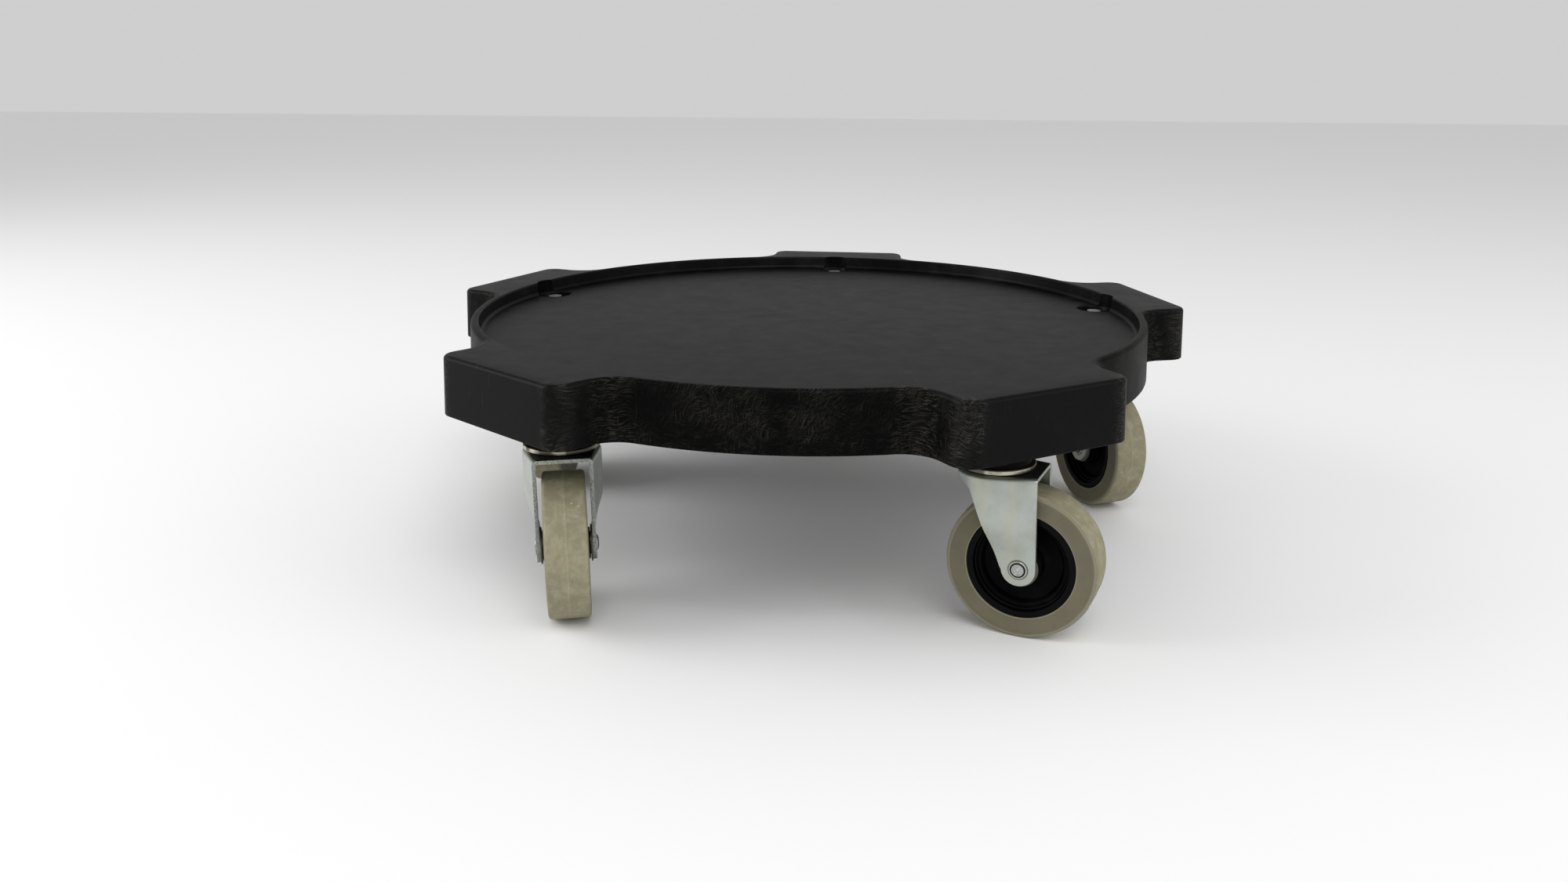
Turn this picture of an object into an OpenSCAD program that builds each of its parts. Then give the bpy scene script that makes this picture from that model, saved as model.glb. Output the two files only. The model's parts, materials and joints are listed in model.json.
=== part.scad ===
// Five-wheeled round drum dolly: a moulded deck on five swivel casters.
// Millimetres, +Z up. The origin is the centre of the drum seat, on its face.

/* [Deck] */
// Height of the drum seat above the floor
seat_height = 124.7; // [124:0.1:126]
// Radius of the round wall between the pods
arc_radius = 202.4; // [200:0.1:206]
// Distance from the centre to the flat face of a pod
pod_face = 228.4; // [226:0.1:232]
// Half of the width of a pod
pod_half_width = 50.8; // [48:0.1:52]
// Radius of a pod's outer corners
pod_corner_radius = 10.6; // [8:0.1:14]
// Radius of the hollow blend from a pod into the round wall
pod_blend_radius = 18.2; // [14:0.1:20]
// Height of the deck's lower edge above the floor
skirt_bottom = 101.2; // [100:0.1:102]
// Height of the deck's side wall
skirt_height = 31.5; // [31:0.1:33]
// Thickness of the moulded walls and floors
wall = 4; // [3.5:0.1:4.5]
// Radius of the round seat that the drum stands in
seat_radius = 196; // [194:0.1:197]
// Thickness of the stiffening ribs under the deck
rib_thickness = 3; // [2.5:0.1:3.5]
// Height of the ribs' lower edges above the floor
rib_bottom = 105; // [104:0.1:108]
// Outer radius of the ring rib under the middle of the deck
hub_ring_radius = 24; // [20:1:40]

/* [Caster heads] */
// Radius of the circle that the swivel axes stand on
swivel_circle = 188.2; // [187:0.1:189]
// Radius of the boss that carries a caster
boss_radius = 14; // [13.5:0.1:16]
// Height of the boss's lower face above the floor
boss_bottom = 96; // [95:0.1:97]
// Height of the floor of the nut's pocket above the floor
pocket_floor = 112; // [111:0.1:113]
// Radius of the nut's pocket
pocket_radius = 10.5; // [10.4:0.1:10.8]
// Radius of the hole that the threaded stem passes through
stem_hole_radius = 5.3; // [5.2:0.1:5.6]
// Radius of the threaded stem and of the swivel pin
stem_radius = 5; // [4.9:0.01:5]
// Height of the stem's upper end above the floor
stem_top = 123.5; // [122.5:0.1:124]
// Radius of the upper bearing race
race_radius = 19.6; // [19:0.1:20]
// Height of the upper race's upright rim
race_rim = 2.3; // [2:0.1:3]
// Radius where the upper race's sloping roof meets its flat top
race_shoulder_radius = 13; // [12.8:0.1:13.5]
// Inner radius of the upper race around the balls
race_cavity_radius = 14.6; // [14.2:0.1:14.8]
// Height of the upper race's top face above the floor
race_top = 93; // [92.9:0.1:93.2]
// Number of balls in a swivel bearing
balls = 14; // [8:1:14]
// Radius of a bearing ball
ball_radius = 2.5; // [2.3:0.1:2.5]
// Radius of the ring that the balls run on
ball_circle = 11.2; // [11:0.1:12]

/* [Forks] */
// Height of the fork crown's top face above the floor
crown_top = 85.6; // [85.4:0.1:85.7]
// Thickness of the fork's steel sheet
sheet = 2; // [1.8:0.1:2.2]
// Width across the outside of the two legs
fork_width = 30.2; // [29.8:0.1:31]
// Distance from the swivel axis back to the axle
trail = 17.8; // [16:0.1:18]
// Radius of the rounded lower end of a leg
leg_end_radius = 8.5; // [8:0.1:9]
// Distance from the axle to the leg's slanted edge at the crown
leg_reach = 28.3; // [26:0.1:29]
// Radius of the crown's rounded plate, about the swivel axis
crown_radius = 20.5; // [20:0.1:22]
// Distance from the swivel axis to the crown's trailing edge
crown_back = 24.2; // [23:0.1:26]
// Radius of the bend between the crown and a leg
bend_radius = 3.5; // [3:0.1:4]

/* [Wheels] */
// Radius of the wheel over its tread
wheel_radius = 38.1; // [37.5:0.1:38.1]
// Width of the tread
tread_width = 21.8; // [21:0.1:22.4]
// Radius of the seat between the tyre and the hub
tyre_seat_radius = 27.3; // [26.5:0.1:28]
// Radius of the tyre's edges
tyre_edge_radius = 2; // [1:0.1:3]
// Outer radius of the bearing sleeve
sleeve_radius = 5.95; // [5.94:0.01:5.97]
// Radius of the hub's bore
hub_bore_radius = 6; // [6:0.01:6.01]
// Radius of the hub's boss
hub_boss_radius = 10.5; // [10:0.1:11]
// Radius of the hollow axle rivet
axle_radius = 3.3; // [3.2:0.01:3.3]
// Thickness of the washer on each side of the hub
axle_washer_thickness = 0.8; // [0.6:0.1:0.8]

/* [Caster headings] */
// Direction in which the front left wheel trails
heading_front_left = -72.2; // [-180:0.1:180]
// Direction in which the front right wheel trails
heading_front_right = -17.6; // [-180:0.1:180]
// Direction in which the right wheel trails
heading_right = -64.3; // [-180:0.1:180]
// Direction in which the rear wheel trails
heading_rear = -70; // [-180:0.1:180]
// Direction in which the left wheel trails
heading_left = -87; // [-180:0.1:180]

/* [Hidden] */
$fn = 64;
cut = 1;
stations = ["front_left", "front_right", "right", "rear", "left"];
headings = [heading_front_left, heading_front_right, heading_right, heading_rear, heading_left];
first_pod_angle = -126;
pod_step = 72;
skirt_top = skirt_bottom + skirt_height;
crown_bottom = crown_top - sheet;
leg_gap = fork_width - 2 * sheet;
hub_boss_length = leg_gap - 2 * axle_washer_thickness - 0.6;
axle_hole_radius = axle_radius + 0.1;
nut_height = 8;
nut_width = 14.3;
washer_thickness = 1.6;

// --- placing ---------------------------------------------------------------

// Shapes measured up from the floor, put in the seat's frame.
module from_floor(z = 0) {
    translate([0, 0, z - seat_height]) children();
}

// One pod's direction: +X points out through the middle of its face.
module at_pod(i) {
    rotate([0, 0, first_pod_angle + pod_step * i]) children();
}

// The swivel axis of caster i, at floor level, with +X along its trail.
module at_caster(i) {
    at_pod(i) translate([swivel_circle, 0, 0])
        rotate([0, 0, headings[i] - first_pod_angle - pod_step * i]) from_floor() children();
}

// The axle of caster i, with +Z along the axle and +X along the trail.
module at_axle(i) {
    at_caster(i) translate([trail, 0, wheel_radius]) rotate([90, 0, 0]) children();
}

// A cylinder centred on the axle's middle.
module across(radius, length) {
    cylinder(r = radius, h = length, center = true);
}

// A flat ring standing on its lower face.
module ring(outer, inner, height) {
    difference() {
        cylinder(r = outer, h = height);
        translate([0, 0, -cut]) cylinder(r = inner, h = height + 2 * cut);
    }
}

// --- deck ------------------------------------------------------------------

// A pod's plan, drawn inset by the given amount.
module pod_plan(inset) {
    half = pod_half_width - inset;
    corner = pod_corner_radius - inset;
    face = pod_face - inset;
    inner = arc_radius / 2;
    translate([inner, -half]) square([face - corner - inner, 2 * half]);
    translate([inner, -half + corner]) square([face - inner, 2 * (half - corner)]);
    for (side = [-1, 1])
        translate([face - corner, side * (half - corner)]) circle(r = corner);
}

// The hollow blend on one side of a pod, drawn inset by the given amount.
module blend_plan(inset) {
    half = pod_half_width - inset;
    blend = pod_blend_radius + inset;
    reach = arc_radius + pod_blend_radius;
    centre_y = pod_half_width + pod_blend_radius;
    centre_x = sqrt(reach * reach - centre_y * centre_y);
    touch = (arc_radius - inset) / reach;
    difference() {
        polygon([
            [centre_x, half - cut],
            [centre_x, centre_y],
            [centre_x * touch, centre_y * touch],
            [centre_x * touch * 0.96, centre_y * touch * 0.96],
            [centre_x * 0.88, half - cut]
        ]);
        translate([centre_x, centre_y]) circle(r = blend);
    }
}

// The deck's whole plan, drawn inset by the given amount.
module deck_plan(inset = 0) {
    circle(r = arc_radius - inset);
    for (i = [0:4]) at_pod(i) {
        pod_plan(inset);
        blend_plan(inset);
        mirror([0, 1]) blend_plan(inset);
    }
}

// The ribs and bosses under the deck, up to the drum seat's face.
module deck_supports() {
    rib_height = seat_height - wall / 2 - rib_bottom;
    cross_reach = sqrt(pow(arc_radius - wall / 2, 2) - pow(swivel_circle, 2));
    from_floor(rib_bottom) ring(hub_ring_radius, hub_ring_radius - rib_thickness, rib_height);
    for (i = [0:4]) at_pod(i) {
        from_floor(rib_bottom) translate([hub_ring_radius - rib_thickness / 2, -rib_thickness / 2, 0])
            cube([swivel_circle - hub_ring_radius, rib_thickness, rib_height]);
        from_floor(rib_bottom) translate([swivel_circle - rib_thickness / 2, -cross_reach, 0])
            cube([rib_thickness, 2 * cross_reach, rib_height]);
        from_floor(boss_bottom) translate([swivel_circle, 0, 0])
            cylinder(r = boss_radius, h = seat_height - wall / 2 - boss_bottom);
    }
}

// The moulded deck: skirt, pods, round drum seat, ribs and caster bosses.
module deck() {
    color([0.035, 0.035, 0.036]) difference() {
        union() {
            difference() {
                from_floor(skirt_bottom) linear_extrude(skirt_height) deck_plan();
                from_floor(skirt_bottom - cut) linear_extrude(seat_height - wall - skirt_bottom + cut)
                    deck_plan(wall);
                from_floor(skirt_bottom - cut) linear_extrude(skirt_height - wall + cut) difference() {
                    deck_plan(wall);
                    circle(r = seat_radius + wall);
                }
                cylinder(r = seat_radius, h = skirt_height);
            }
            deck_supports();
        }
        for (i = [0:4]) at_pod(i) translate([swivel_circle, 0, 0]) {
            from_floor(boss_bottom - cut) cylinder(r = stem_hole_radius, h = seat_height);
            from_floor(pocket_floor) cylinder(r = pocket_radius, h = skirt_top - pocket_floor);
        }
    }
}

// The flat washers under the stem nuts.
module stem_washers() {
    color([0.62, 0.62, 0.6]) for (i = [0:4]) at_caster(i)
        translate([0, 0, pocket_floor]) ring(9.5, stem_radius + 0.3, washer_thickness);
}

// The nuts that hold the five stems.
module stem_nuts() {
    color([0.66, 0.66, 0.64]) for (i = [0:4]) at_caster(i)
        translate([0, 0, pocket_floor + washer_thickness]) difference() {
            cylinder(d = nut_width / cos(30), h = nut_height, $fn = 6);
            translate([0, 0, -cut]) cylinder(r = stem_radius, h = nut_height + 2 * cut);
        }
}

// --- caster heads ----------------------------------------------------------

// The swivel pin with its riveted lower head, collar and threaded stem.
module stem(i) {
    washer_bottom = crown_bottom - 1.05;
    color([0.6, 0.6, 0.58]) at_caster(i) {
        translate([0, 0, washer_bottom - 2.4]) cylinder(r = 8, h = 2.4);
        translate([0, 0, washer_bottom - 2.4]) cylinder(r = stem_radius, h = stem_top - washer_bottom + 2.4);
        translate([0, 0, race_top]) cylinder(r = 9, h = boss_bottom - race_top);
    }
}

// The upper race: a pressed cup with an upright rim and a sloping roof, open
// downwards, fixed under the stem's collar.
module top_race(i) {
    cup_bottom = crown_top + 0.5;
    roof_bottom = crown_top + 2 * ball_radius + 0.05;
    color([0.72, 0.7, 0.62]) at_caster(i) rotate_extrude($fn = 96) polygon([
        [stem_radius, roof_bottom], [race_cavity_radius, roof_bottom],
        [race_cavity_radius, cup_bottom], [race_radius, cup_bottom],
        [race_radius, cup_bottom + race_rim], [race_shoulder_radius, race_top],
        [stem_radius, race_top]
    ]);
}

// The ring of balls between the upper race and the fork's crown.
module race_balls(i) {
    color([0.8, 0.8, 0.8]) at_caster(i) for (k = [0:balls - 1]) rotate([0, 0, k * 360 / balls])
        translate([ball_circle, 0, crown_top + ball_radius + 0.05]) sphere(r = ball_radius, $fn = 32);
}

// The washer between the fork's crown and the swivel pin's head.
module thrust_washer(i) {
    color([0.55, 0.55, 0.52]) at_caster(i)
        translate([0, 0, crown_bottom - 1.05]) ring(9, stem_radius, 1);
}

// --- forks -----------------------------------------------------------------

// The side outline of a leg about the axle, with +X along the trail and +Y up.
module leg_outline() {
    top = crown_top - wheel_radius;
    slant_radius = leg_end_radius - 0.15;
    base = atan2(top, -leg_reach);
    swing = acos(slant_radius / norm([top, leg_reach]));
    circle(r = leg_end_radius);
    polygon([
        slant_radius * [cos(base + swing), sin(base + swing)],
        [-leg_reach, top],
        [crown_back - trail, top],
        [slant_radius, 0],
        [0, 0]
    ]);
}

// The cross-section of the bent sheet, with the crown along the top.
module channel_section(half_width, radius) {
    top = crown_top - wheel_radius;
    depth = top + leg_end_radius + cut;
    translate([-half_width, top - depth]) square([2 * half_width, depth - radius]);
    translate([-half_width + radius, top - depth]) square([2 * (half_width - radius), depth]);
    for (side = [-1, 1])
        translate([side * (half_width - radius), top - radius]) circle(r = radius);
}

// A long bar of the given section, lying along the trail.
module channel(half_width, radius) {
    rotate([0, -90, 0]) linear_extrude(6 * wheel_radius, center = true)
        channel_section(half_width, radius);
}

// The crown's plate in plan, with +X along the trail.
module crown_plan() {
    flat = fork_width - 2 * bend_radius;
    hull() {
        circle(r = crown_radius);
        translate([crown_back - 1.3, -flat / 2]) square([1, flat]);
    }
}

// The fork: one bent sheet with two legs under a rounded crown plate.
module fork(i) {
    top = crown_top - wheel_radius;
    lip_height = bend_radius - 0.5;
    color([0.78, 0.79, 0.77]) at_axle(i) difference() {
        union() {
            intersection() {
                union() {
                    linear_extrude(fork_width, center = true) leg_outline();
                    translate([-trail, top - lip_height, 0]) rotate([-90, 0, 0])
                        cylinder(r = crown_radius - 0.6, h = lip_height);
                }
                channel(fork_width / 2, bend_radius);
            }
            translate([-trail, top - sheet, 0]) rotate([-90, 0, 0])
                linear_extrude(sheet) crown_plan();
        }
        translate([0, -sheet, 0]) channel(leg_gap / 2, bend_radius - sheet);
        translate([-trail, 0, 0]) rotate([-90, 0, 0]) cylinder(r = stem_radius + 0.05, h = top + cut);
        across(axle_hole_radius, 2 * fork_width);
    }
}

// The hollow rivet that serves as the axle: domed head on one side, rolled
// flare on the other.
module axle(i) {
    flare_height = 1;
    color([0.7, 0.7, 0.68]) at_axle(i) difference() {
        union() {
            across(axle_radius, fork_width);
            translate([0, 0, fork_width / 2]) cylinder(r = 4.65, h = flare_height);
            intersection() {
                translate([0, 0, -fork_width / 2 - 1.5]) cylinder(r = 4.65, h = 1.5);
                translate([0, 0, -fork_width / 2 + 6.4]) sphere(r = 7.9);
            }
        }
        translate([0, 0, fork_width / 2 - 8]) cylinder(r = 2.25, h = 10);
    }
}

// The bearing sleeve that the rivet clamps between the legs.
module sleeve(i) {
    color([0.5, 0.5, 0.45]) at_axle(i) difference() {
        across(sleeve_radius, leg_gap);
        across(axle_radius, leg_gap + cut);
    }
}

// The two washers beside the hub.
module axle_washers(i) {
    color([0.45, 0.44, 0.38]) at_axle(i) for (side = [0, 1]) mirror([0, 0, side])
        translate([0, 0, leg_gap / 2 - axle_washer_thickness])
            ring(9.5, sleeve_radius, axle_washer_thickness);
}

// --- wheels ----------------------------------------------------------------

// The hub: rim, stepped inner ring, thin web and a long boss.
module hub(i) {
    rim = tread_width / 2 - 0.4;
    step = rim - 1.6;
    web = 3;
    color([0.03, 0.03, 0.03]) at_axle(i) difference() {
        rotate_extrude() polygon([
            [0, -hub_boss_length / 2], [hub_boss_radius - 1, -hub_boss_length / 2],
            [hub_boss_radius, -web], [tyre_seat_radius - 5, -web],
            [tyre_seat_radius - 4.6, -step], [tyre_seat_radius - 3.2, -step],
            [tyre_seat_radius - 3, -rim], [tyre_seat_radius, -rim],
            [tyre_seat_radius, rim], [tyre_seat_radius - 3, rim],
            [tyre_seat_radius - 3.2, step], [tyre_seat_radius - 4.6, step],
            [tyre_seat_radius - 5, web], [hub_boss_radius, web],
            [hub_boss_radius - 1, hub_boss_length / 2], [0, hub_boss_length / 2]
        ]);
        across(hub_bore_radius, 2 * hub_boss_length);
    }
}

// The tyre: a flat tread with rounded edges around the hub.
module tyre(i) {
    half = tread_width / 2;
    edge = wheel_radius - tyre_edge_radius;
    color([0.42, 0.4, 0.33]) at_axle(i) rotate_extrude() {
        translate([tyre_seat_radius, -half]) square([edge - tyre_seat_radius, tread_width]);
        translate([edge, -half + tyre_edge_radius])
            square([tyre_edge_radius, tread_width - 2 * tyre_edge_radius]);
        for (side = [-1, 1])
            translate([edge, side * (half - tyre_edge_radius)]) circle(r = tyre_edge_radius);
    }
}

// --- nodes -----------------------------------------------------------------

deck();
stem_washers();
stem_nuts();
for (i = [0:4]) {
    station = stations[i];
    stem(i);
    top_race(i);
    race_balls(i);
    thrust_washer(i);
    fork(i);
    axle(i);
    sleeve(i);
    axle_washers(i);
    hub(i);
    tyre(i);
}
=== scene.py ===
"""The looks of a round drum dolly: a moulded black deck on five swivel casters.

Every length is in metres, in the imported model's frame. The deck and the parts of each caster are
modelled here once and copied to the five swivel axes, which are read from the frame.
"""

from __future__ import annotations

import json
import logging
import math
from bisect import bisect_left
from dataclasses import dataclass, field
from enum import Enum
from typing import Any, Callable, Iterable, Sequence

import bpy
from mathutils import Matrix, Vector


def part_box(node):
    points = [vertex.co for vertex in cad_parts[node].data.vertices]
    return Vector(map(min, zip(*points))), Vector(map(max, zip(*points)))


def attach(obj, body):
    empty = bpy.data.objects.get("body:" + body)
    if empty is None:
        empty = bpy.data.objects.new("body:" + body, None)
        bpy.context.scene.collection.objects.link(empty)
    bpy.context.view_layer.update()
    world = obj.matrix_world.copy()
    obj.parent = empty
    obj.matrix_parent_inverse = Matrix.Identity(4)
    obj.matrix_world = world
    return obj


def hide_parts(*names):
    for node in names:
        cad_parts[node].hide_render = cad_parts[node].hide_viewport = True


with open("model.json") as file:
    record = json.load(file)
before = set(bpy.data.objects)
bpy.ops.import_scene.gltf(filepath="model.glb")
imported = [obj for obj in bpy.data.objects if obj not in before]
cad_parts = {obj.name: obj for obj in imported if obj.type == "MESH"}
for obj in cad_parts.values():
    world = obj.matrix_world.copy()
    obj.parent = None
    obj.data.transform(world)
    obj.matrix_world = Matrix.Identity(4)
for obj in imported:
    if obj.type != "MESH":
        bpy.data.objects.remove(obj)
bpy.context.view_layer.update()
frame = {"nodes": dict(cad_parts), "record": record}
FLOOR_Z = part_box("tyre_front_left")[0].z

log = logging.getLogger("drum_dolly")

MM = 0.001
STATIONS = ("front_left", "front_right", "right", "rear", "left")
Point = tuple[float, float]
Colour = tuple[float, float, float, float]
Piece = bpy.types.Object


# --- shader graph ------------------------------------------------------------


class Value:
    """A socket that can be used in arithmetic, which adds the Math nodes it needs."""

    def __init__(self, graph: "Graph", socket: bpy.types.NodeSocket) -> None:
        """Keeps the graph and the socket."""
        self.graph = graph
        self.socket = socket

    def _math(self, operation: str, *operands: Any) -> "Value":
        """Adds one Math node.

        Args:
            operation: The node's operation.
            operands: Numbers or Values, in order.

        Returns:
            The node's result.
        """
        return self.graph.node(
            "ShaderNodeMath", {"operation": operation}, dict(enumerate(operands))
        )

    def __add__(self, other: Any) -> "Value":
        """self + other."""
        return self._math("ADD", self, other)

    def __radd__(self, other: Any) -> "Value":
        """other + self."""
        return self._math("ADD", other, self)

    def __sub__(self, other: Any) -> "Value":
        """self - other."""
        return self._math("SUBTRACT", self, other)

    def __rsub__(self, other: Any) -> "Value":
        """other - self."""
        return self._math("SUBTRACT", other, self)

    def __mul__(self, other: Any) -> "Value":
        """self * other."""
        return self._math("MULTIPLY", self, other)

    def __rmul__(self, other: Any) -> "Value":
        """other * self."""
        return self._math("MULTIPLY", other, self)

    def power(self, exponent: float) -> "Value":
        """self to the given power."""
        return self._math("POWER", self, exponent)

    def absolute(self) -> "Value":
        """The absolute value."""
        return self._math("ABSOLUTE", self)

    def step(self, low: float, high: float) -> "Value":
        """A smooth rise from 0 at low to 1 at high.

        Args:
            low: Where the rise starts.
            high: Where it ends; a value below low makes a fall.

        Returns:
            The eased value.
        """
        swap = high < low
        first, last = (high, low) if swap else (low, high)
        ends = {"To Min": 1.0 if swap else 0.0, "To Max": 0.0 if swap else 1.0}
        return self.graph.node(
            "ShaderNodeMapRange",
            {"interpolation_type": "SMOOTHSTEP"},
            {"Value": self, "From Min": first, "From Max": last, **ends},
        )


class Graph:
    """One material's nodes."""

    def __init__(self, name: str) -> None:
        """Makes an empty material with a Principled shader and its output."""
        self.material = bpy.data.materials.new(name)
        self.material.use_nodes = True
        self.tree = self.material.node_tree
        self.tree.nodes.clear()
        output = self.tree.nodes.new("ShaderNodeOutputMaterial")
        self.shader = self.tree.nodes.new("ShaderNodeBsdfPrincipled")
        self.tree.links.new(self.shader.outputs["BSDF"], output.inputs["Surface"])

    def _feed(self, socket: bpy.types.NodeSocket, value: Any) -> None:
        """Links a Value to a socket, or sets the socket to a number, vector or colour."""
        if isinstance(value, Value):
            self.tree.links.new(value.socket, socket)
        else:
            socket.default_value = value

    def node(
        self, kind: str, settings: dict[str, Any], inputs: dict[Any, Any], output: Any = 0
    ) -> Value:
        """Adds any node.

        Args:
            kind: The node's type.
            settings: Its properties; "stops" holds a colour ramp's stops.
            inputs: Values, numbers or colours by socket name or number.
            output: The wanted output's name or number.

        Returns:
            The wanted output.
        """
        added = self.tree.nodes.new(kind)
        for name, setting in settings.items():
            if name == "stops":
                ramp = added.color_ramp.elements
                while len(ramp) < len(setting):
                    ramp.new(0.5)
                for element, (position, colour) in zip(ramp, setting):
                    element.position = position
                    element.color = colour
            else:
                setattr(added, name, setting)
        for name, value in inputs.items():
            self._feed(added.inputs[name], value)
        return Value(self, added.outputs[output])

    def place(self) -> Value:
        """The object's own coordinates."""
        return self.node("ShaderNodeTexCoord", {}, {}, "Object")

    def attribute(self, name: str) -> Value:
        """A vector stored on the mesh."""
        return self.node("ShaderNodeAttribute", {"attribute_name": name}, {}, "Vector")

    def stretch(self, vector: Value, scale: Sequence[float], turn: float = 0.0) -> Value:
        """A vector scaled on each axis and turned about Z.

        Args:
            vector: The coordinates.
            scale: The factor on each axis.
            turn: The turn about Z in degrees.

        Returns:
            The mapped coordinates.
        """
        return self.node(
            "ShaderNodeMapping",
            {},
            {"Vector": vector, "Scale": scale, "Rotation": (0.0, 0.0, math.radians(turn))},
        )

    def shift(self, vector: Value, amount: Value, reach: float) -> Value:
        """A vector moved by a colour noise, centred on zero.

        Args:
            vector: The coordinates.
            amount: The noise's colour.
            reach: The largest move.

        Returns:
            The moved coordinates.
        """
        centred = self.vector("SUBTRACT", {0: amount, 1: (0.5, 0.5, 0.5)})
        scaled = self.vector("SCALE", {0: centred, "Scale": reach})
        return self.vector("ADD", {0: vector, 1: scaled})

    def vector(self, operation: str, inputs: dict[Any, Any], output: Any = 0) -> Value:
        """The result of one Vector Math node."""
        return self.node("ShaderNodeVectorMath", {"operation": operation}, inputs, output)

    def from_axle(self, form: Value) -> Value:
        """The distance from the axle of a point in a wheel's own frame."""
        return self.vector("LENGTH", {0: self.stretch(form, (1.0, 0.0, 1.0))}, "Value")

    def split(self, vector: Value) -> tuple[Value, Value, Value]:
        """The three parts of a vector."""
        added = self.node("ShaderNodeSeparateXYZ", {}, {0: vector})
        outputs = added.socket.node.outputs
        return Value(self, outputs[0]), Value(self, outputs[1]), Value(self, outputs[2])

    def noise(
        self, vector: Value, scale: float, detail: float = 2.0, rough: float = 0.5, output: int = 0
    ) -> Value:
        """A noise texture.

        Args:
            vector: The coordinates.
            scale: The pattern's fineness.
            detail: How many finer layers it has.
            rough: How strong the finer layers are.
            output: 0 for the value, 1 for the colour.

        Returns:
            The wanted output.
        """
        return self.node(
            "ShaderNodeTexNoise",
            {},
            {"Vector": vector, "Scale": scale, "Detail": detail, "Roughness": rough},
            output,
        )

    def cells(self, vector: Value, scale: float) -> Value:
        """The distance to the nearest point of a scatter of points."""
        return self.node("ShaderNodeTexVoronoi", {}, {"Vector": vector, "Scale": scale})

    def blend(self, factor: Any, first: Any, second: Any) -> Value:
        """A mix of two colours.

        Args:
            factor: A number or a Value.
            first: The colour at 0.
            second: The colour at 1.

        Returns:
            The mixed colour.
        """
        return self.node(
            "ShaderNodeMix",
            {"data_type": "RGBA"},
            {"Factor": factor, 6: first, 7: second},
            2,
        )

    def finish(self, bump: Value | None = None, depth: float = 0.0, **values: Any) -> None:
        """Sets the shader's sockets.

        Args:
            bump: A height from 0 to 1.
            depth: The bump's height in metres.
            values: Numbers, colours or Values by socket name with _ for a space.
        """
        for name, value in values.items():
            self._feed(self.shader.inputs[name.replace("_", " ")], value)
        if bump is not None:
            normal = self.node(
                "ShaderNodeBump", {}, {"Height": bump, "Distance": depth, "Strength": 1.0}
            )
            self._feed(self.shader.inputs["Normal"], normal)


def grey(level: float, warmth: float = 0.0) -> Colour:
    """A grey, a little warmer or cooler."""
    return (level * (1 + warmth), level, level * (1 - warmth), 1.0)


# --- finishes ----------------------------------------------------------------


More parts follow.
